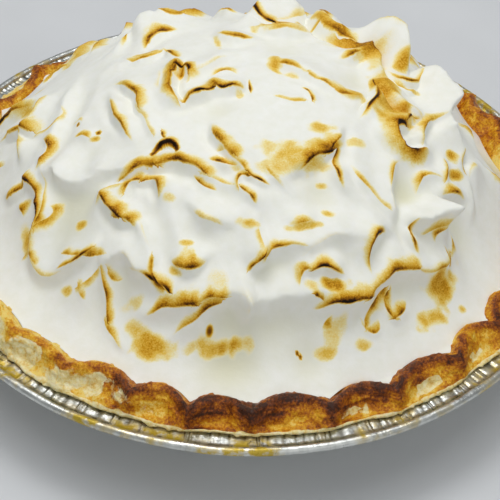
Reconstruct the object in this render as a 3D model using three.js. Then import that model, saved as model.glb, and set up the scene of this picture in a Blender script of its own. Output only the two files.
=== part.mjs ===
// Lemon meringue pie baked in its foil tin.
// Millimetres, +Z up. The origin is on the ground under the middle of the tin.
// X runs to the right and Y to the back, so the front of the pie faces -Y.

import * as THREE from 'three';

// ---------------------------------------------------------------- driving dimensions

const FULL_TURN = 2 * Math.PI;
const DEGREE = Math.PI / 180;

// Foil tin: a pressed dish with a flat flange and a rolled edge
const FOIL_THICKNESS = 0.7;
const TIN_FLOOR_RADIUS = 94;
const TIN_CORNER_RADIUS = 3;
const TIN_WALL_TOP_RADIUS = 109.5;
const FLANGE_HEIGHT = 30;
const ROLL_RADIUS = 1.5;
const RIM_RADIUS = 122;
const TIN_SEGMENTS = 60;
const ROLL_STEPS = 8;

// Pastry: a shell that lines the tin, filled level, with a pinched rope of dough round its edge
const PIECE_GAP = 0.45;
const COLUMNS = 180;
const CRIMPS = 30;
const FIRST_PINCH = -1 * DEGREE;
const FILLING_HEIGHT = 31.8;
const PASTRY_FOOT_RADIUS = 99;
const PASTRY_EDGE_RADIUS = 114.5;
const PASTRY_EDGE_THICKNESS = 1.1;
const LOBE_RADIUS = 102.8;
const PINCH_DEPTH = 5.6;
const PINCH_SHARPNESS = 1.15;
const ROPE_WIDTH = 5.2;
const ROPE_HEIGHT = 38.6;
const ROPE_SHOULDER_DROP = 1.3;
const ROPE_OUTER_DROP = 2.6;
const THUMB_DENT_DROP = 4.2;
const THUMB_DENT_DEPTH = 2.4;
const THUMB_DENT_PLACE = 0.45;
const ROPE_TOP_START = 0.32;
const ROPE_TOP_END = 0.68;
const ROPE_TOP_FALL = 0.3;
const EDGE_PINCH = 0.4;
const EDGE_UNDERCUT = 0.3;
const LEDGE_INSET = 0.4;
const LEDGE_DROP = 1.6;
const RISEN_MIDDLE = 12 * DEGREE;
const RISEN_FULL = 22 * DEGREE;
const RISEN_NONE = 44 * DEGREE;
const RISEN_HEIGHT = 2;
const SLACK_MIDDLE = 226 * DEGREE;
const SLACK_FULL = 4 * DEGREE;
const SLACK_NONE = 22 * DEGREE;
const SLACK_SHIFT = 2.2;
const SLACK_PINCH_LOSS = 0.6;

// Meringue: a spooned mound that seals against the pastry all round
const MOUND_RADIUS = 104;
const MOUND_EDGE_HEIGHT = 37.5;
const MOUND_RISE = 55;
const MOUND_POWER = 2.35;
const MOUND_TOP = { x: 9, y: -2 };
const MOUND_RINGS = 33;
const SKIRT_DIP = 7;
const SKIRT_PLACE = 0.88;
const SKIRT_SPREAD = 0.1;
const FRONT_START = -0.1;
const FRONT_FULL = 0.6;
const SEAL_GAP = 0.65;
const SEAL_HEIGHT = 0.8;
const RISEN_SEAL_HEIGHT = 0.3;
const SEAL_PULL = 14;
const CALM_EDGE = 9;

// Folds of the meringue
const STEEP_SIDE = 1.8;
const STEEP_PER_HOLLOW = 0.25;
const STEEP_POWER = 1.4;
const HOLLOW_SHARE = 0.68;
const CREST_LEAN = 0.27;
const CREST_WIDTH = 3.2;
const FOLD_STEPS = 8;
const BLEND_POWER = 3.5;
const JOINT_REACH = 3.2;
const FREE_END = 0.12;
const JOINED_END = 0.88;
const TAPER_SHARE = 0.42;
const SETTLE_RATE = 0.35;
const SAG_POWER = 1.7;
const DOME_POWER = 2;
const LOW_FOLD = 0.9;
const TALL_FOLD = 1.3;
const SIDE_BLEND = 0.5;
const NEAR_FLOOR = 0.3;
const NEAR_POWER = 4;
const SLIGHT_BOW = 0.01;
const PEAK_SHARPNESS = 1.6;
const NOTHING = 1e-9;

// ---------------------------------------------------------------- small helpers

const clamp = (value, low, high) => Math.min(high, Math.max(low, value));
const mix = (from, to, share) => from + (to - from) * share;

function smoothstep(low, high, value) {
  const share = clamp((value - low) / (high - low), 0, 1);
  return share * share * (3 - 2 * share);
}

// Repeatable scatter between 0 and 1 for a numbered thing
function scatter(index, salt) {
  const wave = Math.sin(index * 12.9898 + salt * 78.233) * 43758.5453;
  return wave - Math.floor(wave);
}

function ringOf(count, pointAt) {
  return Array.from({ length: count }, (_, step) => pointAt(FULL_TURN * step / count));
}

// Closed skin over a stack of rings that starts and ends in a single point on the axis.
// Even quads split from the lower ring up, so that two skins face to face split alike.
function skinOver(rings) {
  const starts = [];
  const positions = [];
  for (const ring of rings) {
    starts.push(positions.length / 3);
    for (const point of ring) positions.push(...point);
  }
  const faces = [];
  for (let level = 0; level + 1 < rings.length; level += 1) {
    const [upper, upperCount] = [starts[level], rings[level].length];
    const [lower, lowerCount] = [starts[level + 1], rings[level + 1].length];
    const climbs = rings[level + 1][0][2] >= rings[level][0][2];
    let i = 0;
    let j = 0;
    while (i < upperCount || j < lowerCount) {
      const ahead = (i + 1) / upperCount - (j + 1) / lowerCount;
      const lowerIsNext = ahead > 0 || (ahead === 0 && climbs);
      const stepsLower = i === upperCount || (j < lowerCount && lowerIsNext);
      const corner = [upper + i % upperCount, lower + j % lowerCount];
      const next = stepsLower ? lower + (j + 1) % lowerCount : upper + (i + 1) % upperCount;
      const seamsOnly = stepsLower ? lowerCount === 1 : upperCount === 1;
      if (!seamsOnly) faces.push(...corner, next);
      if (stepsLower) j += 1;
      else i += 1;
    }
  }
  const geometry = new THREE.BufferGeometry();
  geometry.setAttribute('position', new THREE.Float32BufferAttribute(positions, 3));
  geometry.setIndex(faces);
  geometry.computeVertexNormals();
  return geometry;
}

// Moves each free vertex that lies in a hollow towards the middle of its neighbours,
// so that valleys become round while the crests between them stay crisp
function settle(geometry, freeCount) {
  const { position, normal } = geometry.attributes;
  const index = geometry.index.array;
  const middles = Array.from({ length: position.count }, () => new THREE.Vector3());
  const counts = new Array(position.count).fill(0);
  for (let k = 0; k < index.length; k += 1) {
    const next = k % 3 === 2 ? k - 2 : k + 1;
    const neighbour = new THREE.Vector3().fromBufferAttribute(position, index[next]);
    middles[index[k]].add(neighbour);
    counts[index[k]] += 1;
  }
  for (let k = 0; k < freeCount; k += 1) {
    const own = new THREE.Vector3().fromBufferAttribute(position, k);
    const pull = middles[k].divideScalar(counts[k]).sub(own);
    const outward = new THREE.Vector3().fromBufferAttribute(normal, k);
    const rise = Math.max(0, pull.dot(outward)) * SETTLE_RATE;
    own.addScaledVector(outward, rise);
    position.setXYZ(k, own.x, own.y, own.z);
  }
  geometry.computeVertexNormals();
  return geometry;
}

// ---------------------------------------------------------------- foil tin

function foilTinGeometry() {
  const wallRun = TIN_WALL_TOP_RADIUS - TIN_FLOOR_RADIUS;
  const rollCentre = RIM_RADIUS - ROLL_RADIUS;
  const flangeEnd = rollCentre - ROLL_RADIUS;
  const under = FLANGE_HEIGHT - FOIL_THICKNESS;
  const cornerRun = TIN_CORNER_RADIUS * wallRun / FLANGE_HEIGHT;
  const outside = [
    [0, 0],
    [TIN_FLOOR_RADIUS - TIN_CORNER_RADIUS, 0],
    [TIN_FLOOR_RADIUS, TIN_CORNER_RADIUS / 3],
    [TIN_FLOOR_RADIUS + cornerRun, TIN_CORNER_RADIUS],
    [TIN_WALL_TOP_RADIUS, under - FOIL_THICKNESS],
    [TIN_WALL_TOP_RADIUS + FOIL_THICKNESS, under],
    [flangeEnd, under],
  ];
  const roll = [];
  for (let step = 0; step <= ROLL_STEPS; step += 1) {
    const angle = mix(-150, 150, step / ROLL_STEPS) * DEGREE;
    const radius = rollCentre + ROLL_RADIUS * Math.cos(angle);
    roll.push([radius, FLANGE_HEIGHT + ROLL_RADIUS * Math.sin(angle)]);
  }
  const inside = [
    [flangeEnd, FLANGE_HEIGHT],
    [TIN_WALL_TOP_RADIUS, FLANGE_HEIGHT],
    [TIN_WALL_TOP_RADIUS - FOIL_THICKNESS, under - FOIL_THICKNESS],
    [TIN_FLOOR_RADIUS + cornerRun - FOIL_THICKNESS, TIN_CORNER_RADIUS + FOIL_THICKNESS],
    [TIN_FLOOR_RADIUS - TIN_CORNER_RADIUS, FOIL_THICKNESS],
    [0, FOIL_THICKNESS],
  ];
  const profile = [...outside, ...roll, ...inside].map(([r, z]) => new THREE.Vector2(r, z));
  return new THREE.LatheGeometry(profile, TIN_SEGMENTS).rotateX(Math.PI / 2);
}

// ---------------------------------------------------------------- pastry

// The dough was laid by hand, so it wavers round the pie. Each wave has its number of swings
// in a full turn, its phase in radians and its size, in millimetres or, for crimps, in crimps.
const wave = (swings, phase, size) => ({ swings, phase, size });

const CRIMP_DRIFT = [wave(5, 2.4, 0.11), wave(11, 0, 0.06)];
const LOBE_WAVER = [wave(4, 1, 0.5), wave(9, 4, 0.35)];
const TOP_WAVER = [wave(3, 2, 0.5), wave(13, 1, 0.45)];
const EDGE_WAVER = [wave(17, 0, 0.35), wave(29, 2, 0.3)];

const waverAt = (waves, angle) => waves.reduce(
  (sum, { swings, phase, size }) => sum + size * Math.sin(swings * angle + phase),
  0,
);

// Where an angle lies in its crimp: 0 in a pinch, 0.5 on the middle of a lobe
function crimpPhase(angle) {
  const count = CRIMPS * (angle - FIRST_PINCH) / FULL_TURN + waverAt(CRIMP_DRIFT, angle);
  return count - Math.floor(count);
}

// How far a pinch pushes the rope of dough outward: 1 in the pinch, 0 on the lobe
const pinchAt = (angle) => (1 - Math.sin(Math.PI * crimpPhase(angle))) ** PINCH_SHARPNESS;

// Share of a bump in the plan: 1 at its middle angle, 0 beyond its outer one
function bumpAt(angle, middle, full, none) {
  const away = Math.abs(Math.atan2(Math.sin(angle - middle), Math.cos(angle - middle)));
  return 1 - smoothstep(full, none, away);
}

// On the right, towards the back, the pastry stands taller and the meringue has shrunk down
const risenSide = (angle) => bumpAt(angle, RISEN_MIDDLE, RISEN_FULL, RISEN_NONE);

// At the front left the rope of dough was laid further out and pinched less
const slackSide = (angle) => bumpAt(angle, SLACK_MIDDLE, SLACK_FULL, SLACK_NONE);

const innerLobeRadius = (angle) => LOBE_RADIUS
  + PINCH_DEPTH * pinchAt(angle) * (1 - SLACK_PINCH_LOSS * slackSide(angle))
  + SLACK_SHIFT * slackSide(angle) + waverAt(LOBE_WAVER, angle);

const ropeTop = (angle) => ROPE_HEIGHT + waverAt(TOP_WAVER, angle)
  + RISEN_HEIGHT * risenSide(angle);

const edgeRadius = (angle) => PASTRY_EDGE_RADIUS + waverAt(EDGE_WAVER, angle)
  + EDGE_PINCH * pinchAt(angle);

const polar = (angle, radius, height) => [
  radius * Math.cos(angle),
  radius * Math.sin(angle),
  height,
];

function crustGeometry() {
  const wallTop = TIN_WALL_TOP_RADIUS - FOIL_THICKNESS - PIECE_GAP;
  const floor = FOIL_THICKNESS + PIECE_GAP;
  const flangeTop = FLANGE_HEIGHT + PIECE_GAP;
  const outerRope = (angle) => innerLobeRadius(angle) + ROPE_WIDTH;
  const dentRadius = (angle) => mix(outerRope(angle), edgeRadius(angle), THUMB_DENT_PLACE);
  const dentDrop = (angle) => THUMB_DENT_DROP + THUMB_DENT_DEPTH * (1 - pinchAt(angle));
  // Radius and height of the section, from the filling over the rope to the bottom
  const sections = [
    () => [PASTRY_FOOT_RADIUS, FILLING_HEIGHT],
    (angle) => [innerLobeRadius(angle), ropeTop(angle) - ROPE_SHOULDER_DROP],
    (angle) => [innerLobeRadius(angle) + ROPE_TOP_START * ROPE_WIDTH, ropeTop(angle)],
    (angle) => [
      innerLobeRadius(angle) + ROPE_TOP_END * ROPE_WIDTH,
      ropeTop(angle) - ROPE_TOP_FALL,
    ],
    (angle) => [outerRope(angle), ropeTop(angle) - ROPE_OUTER_DROP],
    (angle) => [dentRadius(angle), ropeTop(angle) - dentDrop(angle)],
    (angle) => [edgeRadius(angle), flangeTop + PASTRY_EDGE_THICKNESS],
    (angle) => [edgeRadius(angle) - EDGE_UNDERCUT, flangeTop],
    () => [wallTop, flangeTop],
    () => [wallTop - LEDGE_INSET, flangeTop - LEDGE_DROP],
    () => [TIN_FLOOR_RADIUS - TIN_CORNER_RADIUS, floor],
  ];
  const rings = sections.map((section) => ringOf(COLUMNS, (angle) => {
    const [radius, height] = section(angle);
    return polar(angle, radius, height);
  }));
  return skinOver([[[0, 0, FILLING_HEIGHT]], ...rings, [[0, 0, floor]]]);
}

// ---------------------------------------------------------------- meringue

// A fold is the crest that the back of a spoon leaves as it lifts. It runs from one point
// of the plan to another, with its steep side and its hollow on the right-hand side of the
// way along it. A positive bow bulges to the left. Then come the crest's height and the
// widths of its gentle side and of its hollow. Lengths are in millimetres.
const fold = (x0, y0, x1, y1, bow, high, wide, hollow) => ({
  x0, y0, x1, y1, bow, high, wide, hollow,
});

const SPOON_FOLDS = [
  // silhouettes: swirl behind the left shoulder, top peak and right edge
  fold(-16, 44, -52, 27, -3, 10, 14, 6),
  fold(18, 44, -5, 38, -3, 9, 12, 9),
  fold(83, -5, 78, -21, -1, 5, 8, 4),
  // left outer lobes
  fold(-72, 13, -79, -4, 2, 5, 9, 5),
  fold(-79, -3, -79, -18, 0, 5, 7, 4),
  fold(-70, -25, -62, 16, -1, 4, 8, 10),
  fold(-75, -27, -69, -48, 2.5, 5, 6, 5),
  fold(-84, -26, -76, -28, -1, 4, 7, 5),
  fold(-70, -25, -68, -48, 2, 4, 7, 3),
  // brow of the big bowl
  fold(-70, -33, -62, -34, 3.5, 6, 12, 14),
  fold(-62, -33, -50, -38, -3.5, 5, 12, 14),
  fold(-51, -37, -40, -41, 0, 4, 9, 8),
  fold(-49, -2, -37, -33, -1, 4, 8, 6),
  fold(-49, 2, -36, -17, 3, 4, 8, 6),
  // top left
  fold(-39, 20.5, -25.5, 32, 4.4, 4, 7, 7),
  fold(-35, 41, -25, 46, -5, 3.5, 7, 6),
  fold(-48, 25, -42, 44, -0.5, 4.5, 7, 7),
  fold(-45, 18, -32, 16, -4, 3, 7, 6),
  // hooded knob and the long ridge from its foot
  fold(-25, -17.5, -26.5, 2.5, 2.5, 6, 7, 6),
  fold(-30, -13, -31, 5, 1.5, 2.2, 5, 3),
  fold(-27, 2, -20.5, -4, 3, 5, 6, 5),
  fold(-23, -17, -12, -11, 0, 5, 9, 8),
  fold(-12, -10, 0, -11, -1, 4.5, 8, 7),
  fold(-21, -7, -4, 9, 2, 3, 9, 9),
  // top
  fold(-13, 29, 2, 23, -5.5, 4, 9, 9),
  fold(-3, 44, 8, 34.5, 0.3, 3.5, 6, 4),
  fold(1, 29, 23, 31, -2, 5, 10, 10),
  fold(20, 47, 36, 27, -2.5, 9, 7, 8),
  fold(19, 34, 34, 29, 4, 2.5, 5, 4),
  // upper right slope
  fold(8, 5.5, 21, -1.5, 0.3, 3.5, 10, 8),
  fold(21, -1.5, 30, -7, -0.3, 3, 9, 8),
  // middle: a long crest over petals, a small black arch and the wide golden slope
  fold(-12, -27, -3, -41, -1.5, 4, 10, 7),
  fold(-4, -40, 2, -47, 0, 3, 8, 6),
  fold(-13, -42, 0, -44, -0.5, 3.5, 6, 9),
  fold(-41, -44, -30, -42, 1.5, 4.5, 10, 8),
  fold(-29, -42, -12, -47, 2, 4.5, 10, 8),
  fold(-30.5, -38.5, -22, -39.5, 4.6, 4, 4, 5),
  fold(-40, -49, -35, -45, 1.5, 4.5, 6, 6),
  fold(-33, -46, -28, -55, 3.5, 4.5, 6, 6),
  fold(-40, -46, -48, -49, -0.5, 4, 8, 4),
  fold(-47, -47, -39, -57, -0.5, 4.5, 8, 7),
  fold(-41, -56, -34, -62, 1, 3, 7, 6),
  fold(-1, -52, 5, -58, 0.5, 2.6, 7, 6),
  fold(-2, -52, 2, -48, 2.5, 3, 5, 5),
  fold(2, -47, 10, -51, -1, 2.6, 5, 5),
  fold(16, -47, 28, -36, 1, 5, 14, 10),
  fold(27, -36, 32, -28, 0, 4, 9, 7),
  fold(30, -35, 36, -50, -2.5, 3.5, 8, 8),
  // hooded lobe at the right of the top
  fold(47, 10, 35, 27, -2, 7.5, 10, 5),
  fold(30, 12, 44, 24, -0.5, 5, 7, 9),
  fold(55.5, 16, 35, 34, -4, 14.5, 7, 10),
  fold(49, 17, 57, 20, -8, 5, 5, 4),
  fold(50, 12, 62, 7, -1.5, 3.5, 6, 4),
  fold(68, 5, 54, 22, -3.5, 11.5, 8, 8),
  fold(46, 5, 37, -21, 2.5, 5.5, 8, 5),
  fold(48, 5, 63, -3, -6, 5.5, 6, 5),
  fold(60, -22, 53, -15, 8.5, 5.5, 9, 6),
  fold(53, -13, 60, -5, 0.5, 5, 6, 5),
  fold(60, -19, 68, -1, 3.5, 4.5, 5, 6),
  fold(78, -8, 68, 6, 4.5, 8, 9, 7),
  fold(50, -48, 54, -28, 3.5, 4, 8, 9),
  fold(42, -19, 62, -20, -7.5, 4, 7, 9),
  fold(67, -35, 78, -27, 2, 4.5, 5, 5),
  // horn and the curls under it
  fold(43, -69, 49, -56, 5, 6, 9, 9),
  fold(57, -47, 60, -56, -2, 5, 6, 8),
  fold(54, -51, 66, -41, 0, 8.5, 6, 6),
  // front right ridge and petals
  fold(23, -80.5, 42, -72.5, 0, 5.5, 10, 10),
  fold(41, -73, 58, -59, 1, 5.5, 10, 9),
  fold(58, -59, 70, -50, -1.5, 5, 7, 7),
  fold(19, -77, 23, -72, 2, 4.5, 7, 5),
  fold(23, -72, 35, -71, 1, 5, 8, 6),
  // middle and left of the front, and the rim of the big bowl
  fold(2, -75, 6, -70, 0, 4.5, 9, 9),
  fold(6, -71, 20, -67, 1, 4.5, 9, 12),
  fold(20, -69, 42, -61, 2.5, 3.5, 10, 9),
  fold(3, -81, 24, -77, -0.5, 5.5, 11, 13),
  fold(-6, -80, 4, -81, 1, 4.5, 9, 10),
  fold(2, -82, 0, -77, -0.5, 4.5, 7, 8),
  fold(-32, -81.5, -14, -81, 0.5, 4, 8, 8),
  fold(-14, -81, -5, -80, 0.5, 4.5, 8, 8),
  fold(-22, -87.5, -6, -81, 0.5, 3, 6, 9),
  fold(-23, -71, -10, -72, -2.5, 4.5, 8, 5),
  fold(-24, -77, -29, -70, 1, 3.5, 5, 7),
  fold(-34, -71, -22, -78, 0, 4.5, 8, 8),
  fold(-43, -67, -33, -71, 2, 4.5, 8, 8),
  fold(-69, -48, -60, -62, -4.5, 4.5, 8, 7),
  fold(-60, -61, -49, -62, -0.5, 3.5, 5, 6),
  fold(-29, -70, -34, -58, 0, 3.5, 8, 11),
  fold(-17, -58, -4, -64, -1, 3.5, 10, 11),
];

// Broad dents between the folds
const dent = (x, y, radius, depth) => ({ x, y, radius, depth });

const SPOON_DENTS = [
  dent(-58, -42, 16, 4.5),
  dent(-64, -60, 8, 3),
  dent(-41, -75, 9, 3.5),
  dent(-2, -91, 13, 5),
  dent(10, -79, 14, 4.5),
  dent(24, -90, 9, 3),
  dent(54, -40, 10, 4.5),
  dent(28, -67, 8, 2.5),
  dent(38, -70, 8, 3),
  dent(54, -65, 8, 3.5),
  dent(-6, -51, 9, 2.5),
  dent(-11, -20, 8, 2.5),
  dent(25, -51, 8, 3),
  dent(75, -38, 7, 3),
  dent(38, 3, 8, 3),
  dent(12, 18, 9, 2.5),
  dent(89, 26, 17, 8),
  dent(-20, 62, 22, 4),
];

// Peaks drawn out with the spoon's tip: their place, size and how far they go each way
const PULLED_PEAKS = [
  { x: 66, y: -41, radius: 6, right: 3, back: 2, up: 5 },
];

// The back and the far sides carry the same kind of folds, spread by the golden angle.
// They keep clear of the front field, where the folds are set out one by one.
const BACK_FOLDS = 96;
const BACK_FIELD_SHARE = 0.93;
const FRONT_FIELD_DEPTH = 62;
const FRONT_FIELD_SLOPE = 0.4;
const FRONT_FIELD_HALF_WIDTH = 84;
const GOLDEN_ANGLE = 137.508 * DEGREE;
const BACK_TURN = [0.2 * Math.PI, 1.5 * Math.PI];
const BACK_HALF_LENGTH = [6, 12];
const BACK_BOW = [-1, 6];
const BACK_HEIGHT = [3.5, 7];
const BACK_WIDTH = [6, 11];
const BACK_HOLLOW = [5, 10];

function backFolds() {
  const folds = [];
  for (let index = 0; index < BACK_FOLDS; index += 1) {
    const pick = ([low, high], salt) => mix(low, high, scatter(index, salt));
    const reach = MOUND_RADIUS * BACK_FIELD_SHARE * Math.sqrt((index + 0.5) / BACK_FOLDS);
    const around = index * GOLDEN_ANGLE;
    const [x, y] = [reach * Math.cos(around), reach * Math.sin(around)];
    const fieldEnd = FRONT_FIELD_DEPTH - FRONT_FIELD_SLOPE * Math.abs(x);
    if (y < fieldEnd && Math.abs(x) < FRONT_FIELD_HALF_WIDTH) continue;
    const heading = around + pick(BACK_TURN, 1);
    const half = pick(BACK_HALF_LENGTH, 2);
    const [along, across] = [half * Math.cos(heading), half * Math.sin(heading)];
    const ends = [x - along, y - across, x + along, y + across];
    const [bow, high] = [pick(BACK_BOW, 3), pick(BACK_HEIGHT, 4)];
    folds.push(fold(...ends, bow, high, pick(BACK_WIDTH, 5), pick(BACK_HOLLOW, 9)));
  }
  return folds;
}

const FOLDS = [...SPOON_FOLDS, ...backFolds()];

// Whether another fold starts or ends at this end of a fold, so that the crest runs on
function runsOn(own, x, y) {
  return FOLDS.some((other) => other !== own && Math.min(
    Math.hypot(other.x0 - x, other.y0 - y),
    Math.hypot(other.x1 - x, other.y1 - y),
  ) < JOINT_REACH);
}

// 1 along a crest; towards an end it sinks, almost away where no other fold goes on
const endTaper = (share, joined) => mix(
  joined ? JOINED_END : FREE_END,
  1,
  smoothstep(0, TAPER_SHARE, share),
);

// Points along a fold's arc of a circle, each with the crest's height there
function foldCourse(own) {
  const { x0, y0, x1, y1, bow, high, wide, hollow } = own;
  const chord = new THREE.Vector2(x1 - x0, y1 - y0);
  const half = chord.length() / 2;
  const left = new THREE.Vector2(-chord.y, chord.x).normalize();
  const halfTurn = 2 * Math.atan2(bow || SLIGHT_BOW, half);
  const radius = half / Math.sin(halfTurn);
  const joined = [runsOn(own, x0, y0), runsOn(own, x1, y1)];
  const course = [];
  for (let step = 0; step <= FOLD_STEPS; step += 1) {
    const share = step / FOLD_STEPS;
    const swept = halfTurn * (2 * share - 1);
    const forward = (1 + radius * Math.sin(swept) / half) / 2;
    const swing = radius * (Math.cos(swept) - Math.cos(halfTurn));
    course.push({
      x: x0 + chord.x * forward + left.x * swing,
      y: y0 + chord.y * forward + left.y * swing,
      lift: high * endTaper(share, joined[0]) * endTaper(1 - share, joined[1]),
    });
  }
  const steepWidth = STEEP_SIDE + STEEP_PER_HOLLOW * hollow;
  return { course, wide, hollow, steepWidth, steepness: high / wide };
}

const COURSES = FOLDS.map(foldCourse);

// Way from one straight run of a crest to a point of the plan
function wayFrom(x, y, from, to) {
  const [runX, runY] = [to.x - from.x, to.y - from.y];
  const length = Math.hypot(runX, runY);
  const along = ((x - from.x) * runX + (y - from.y) * runY) / (length * length);
  const share = clamp(along, 0, 1);
  const [offX, offY] = [x - from.x - runX * share, y - from.y - runY * share];
  const distance = Math.hypot(offX, offY);
  const [steepX, steepY] = [runY / length, -runX / length];
  const facing = distance > 0 ? (offX * steepX + offY * steepY) / distance : 0;
  return { distance, facing, steepX, steepY, lift: mix(from.lift, to.lift, share) };
}

// Gentle sides of low folds sag away from the crest; those of tall ones are domed lobes
function gentleFall(part, steepness) {
  const sagging = (1 - part) ** SAG_POWER;
  const domed = (1 - part * part) ** DOME_POWER;
  return mix(sagging, domed, smoothstep(LOW_FOLD, TALL_FOLD, steepness));
}

// Section of a hollow: 0 at the crest, 1 at a third of its width and 0 again at its end
const bowlAt = (across) => (27 / 4) * across * (1 - across) ** 2;

// Rise, trough and lean that one fold gives a point of the plan
function foldEffect(x, y, { course, wide, hollow, steepWidth, steepness }) {
  const ways = course.slice(1).map((to, step) => wayFrom(x, y, course[step], to));
  const pulls = ways.map(({ distance }) => 1 / (distance + NEAR_FLOOR) ** NEAR_POWER);
  const pullSum = pulls.reduce((sum, pull) => sum + pull, 0);
  const side = ways.reduce((sum, { facing }, k) => sum + facing * pulls[k], 0) / pullSum;
  const steepShare = smoothstep(-SIDE_BLEND, SIDE_BLEND, side);
  const effect = { rise: 0, trough: 0, leanX: 0, leanY: 0 };
  let weight = 0;
  for (const { distance, steepX, steepY, lift } of ways) {
    const gentle = gentleFall(clamp(distance / wide, 0, 1), steepness);
    const steep = Math.exp(-((distance / steepWidth) ** STEEP_POWER));
    const bowl = bowlAt(clamp(distance / hollow, 0, 1));
    effect.rise = Math.max(effect.rise, lift * mix(gentle, steep, steepShare));
    effect.trough = Math.max(effect.trough, HOLLOW_SHARE * lift * bowl * steepShare);
    const push = CREST_LEAN * lift * Math.exp(-((distance / CREST_WIDTH) ** 2));
    effect.leanX += steepX * push ** 3;
    effect.leanY += steepY * push ** 3;
    weight += push ** 2;
  }
  effect.leanX /= Math.max(weight, NOTHING);
  effect.leanY /= Math.max(weight, NOTHING);
  return effect;
}

// All folds together: the highest crest leads, and neighbours melt into it
function foldsAt(x, y) {
  let riseSum = 0;
  let troughSum = 0;
  let leanX = 0;
  let leanY = 0;
  for (const course of COURSES) {
    const effect = foldEffect(x, y, course);
    riseSum += effect.rise ** BLEND_POWER;
    troughSum += effect.trough ** BLEND_POWER;
    leanX += effect.leanX;
    leanY += effect.leanY;
  }
  for (const { x: dentX, y: dentY, radius, depth } of SPOON_DENTS) {
    const off = Math.hypot(x - dentX, y - dentY) / radius;
    troughSum += (depth * Math.exp(-off * off)) ** BLEND_POWER;
  }
  let pulledUp = 0;
  for (const { x: peakX, y: peakY, radius, right, back, up } of PULLED_PEAKS) {
    const away = Math.hypot(x - peakX, y - peakY) / radius;
    const grip = clamp(1 - away, 0, 1) ** PEAK_SHARPNESS;
    leanX += grip * right;
    leanY += grip * back;
    pulledUp += grip * up;
  }
  const rise = riseSum ** (1 / BLEND_POWER);
  const trough = troughSum ** (1 / BLEND_POWER);
  return { lift: rise - trough + pulledUp, leanX, leanY };
}

// Height of the smooth mound under the folds. Its top lies a little right of the middle,
// and at the front it flattens into a skirt before it meets the pastry.
function moundHeight(x, y) {
  const out = Math.hypot(x, y);
  const share = clamp(out / MOUND_RADIUS, 0, 1);
  const shift = 1 - share;
  const reach = Math.hypot(x - MOUND_TOP.x * shift, y - MOUND_TOP.y * shift) / MOUND_RADIUS;
  const front = smoothstep(FRONT_START, FRONT_FULL, -y / Math.max(out, 1));
  const skirt = front * Math.exp(-(((share - SKIRT_PLACE) / SKIRT_SPREAD) ** 2));
  const dome = MOUND_RISE * (1 - clamp(reach, 0, 1) ** MOUND_POWER);
  return MOUND_EDGE_HEIGHT + dome - SKIRT_DIP * skirt;
}

function moundNormal(x, y) {
  const step = 1;
  const slopeX = (moundHeight(x + step, y) - moundHeight(x - step, y)) / (2 * step);
  const slopeY = (moundHeight(x, y + step) - moundHeight(x, y - step)) / (2 * step);
  return new THREE.Vector3(-slopeX, -slopeY, 1).normalize();
}

// Point of the pastry's inner face, from its foot (0) to its shoulder (1)
function sealPoint(angle, share) {
  return {
    radius: mix(PASTRY_FOOT_RADIUS, innerLobeRadius(angle), share) - SEAL_GAP,
    height: mix(FILLING_HEIGHT, ropeTop(angle) - ROPE_SHOULDER_DROP, share),
  };
}

function meringuePoint(angle, share) {
  const seal = sealPoint(angle, mix(SEAL_HEIGHT, RISEN_SEAL_HEIGHT, risenSide(angle)));
  const pull = share ** SEAL_PULL;
  const radius = mix(MOUND_RADIUS * share, seal.radius, pull);
  const [x, y] = [radius * Math.cos(angle), radius * Math.sin(angle)];
  const { lift, leanX, leanY } = foldsAt(x, y);
  const calm = 1 - share ** CALM_EDGE;
  const height = mix(moundHeight(x, y), seal.height, pull);
  const normal = moundNormal(x, y);
  return [
    x + calm * (normal.x * lift + leanX),
    y + calm * (normal.y * lift + leanY),
    height + calm * normal.z * lift,
  ];
}

function meringueGeometry() {
  const rings = [];
  for (let ring = 0; ring < MOUND_RINGS; ring += 1) {
    const count = ring === 0 ? 1 : Math.round(FULL_TURN * ring);
    rings.push(ringOf(count, (angle) => meringuePoint(angle, ring / MOUND_RINGS)));
  }
  const freeCount = rings.slice(0, -1).reduce((sum, ring) => sum + ring.length, 0);
  rings.push(ringOf(COLUMNS, (angle) => meringuePoint(angle, 1)));
  const foot = FILLING_HEIGHT + PIECE_GAP;
  const footShare = PIECE_GAP / (ROPE_HEIGHT - FILLING_HEIGHT);
  rings.push(ringOf(COLUMNS, (angle) => polar(angle, sealPoint(angle, footShare).radius, foot)));
  rings.push([[0, 0, foot]]);
  return settle(skinOver(rings), freeCount);
}

// ---------------------------------------------------------------- assembly

function piece(name, geometry, color, roughness, metalness) {
  const material = new THREE.MeshStandardMaterial({ color, roughness, metalness });
  const mesh = new THREE.Mesh(geometry, material);
  mesh.name = name;
  return mesh;
}

const pie = new THREE.Group();
pie.name = 'lemon_meringue_pie';
pie.add(
  piece('foil_tin', foilTinGeometry(), 0xd2d4d2, 0.32, 1),
  piece('crust', crustGeometry(), 0xb87430, 0.65, 0),
  piece('meringue', meringueGeometry(), 0xf2efe6, 0.6, 0),
);

export default pie;
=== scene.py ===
import math

import bpy
import numpy as np
from mathutils import Matrix, Vector


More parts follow.
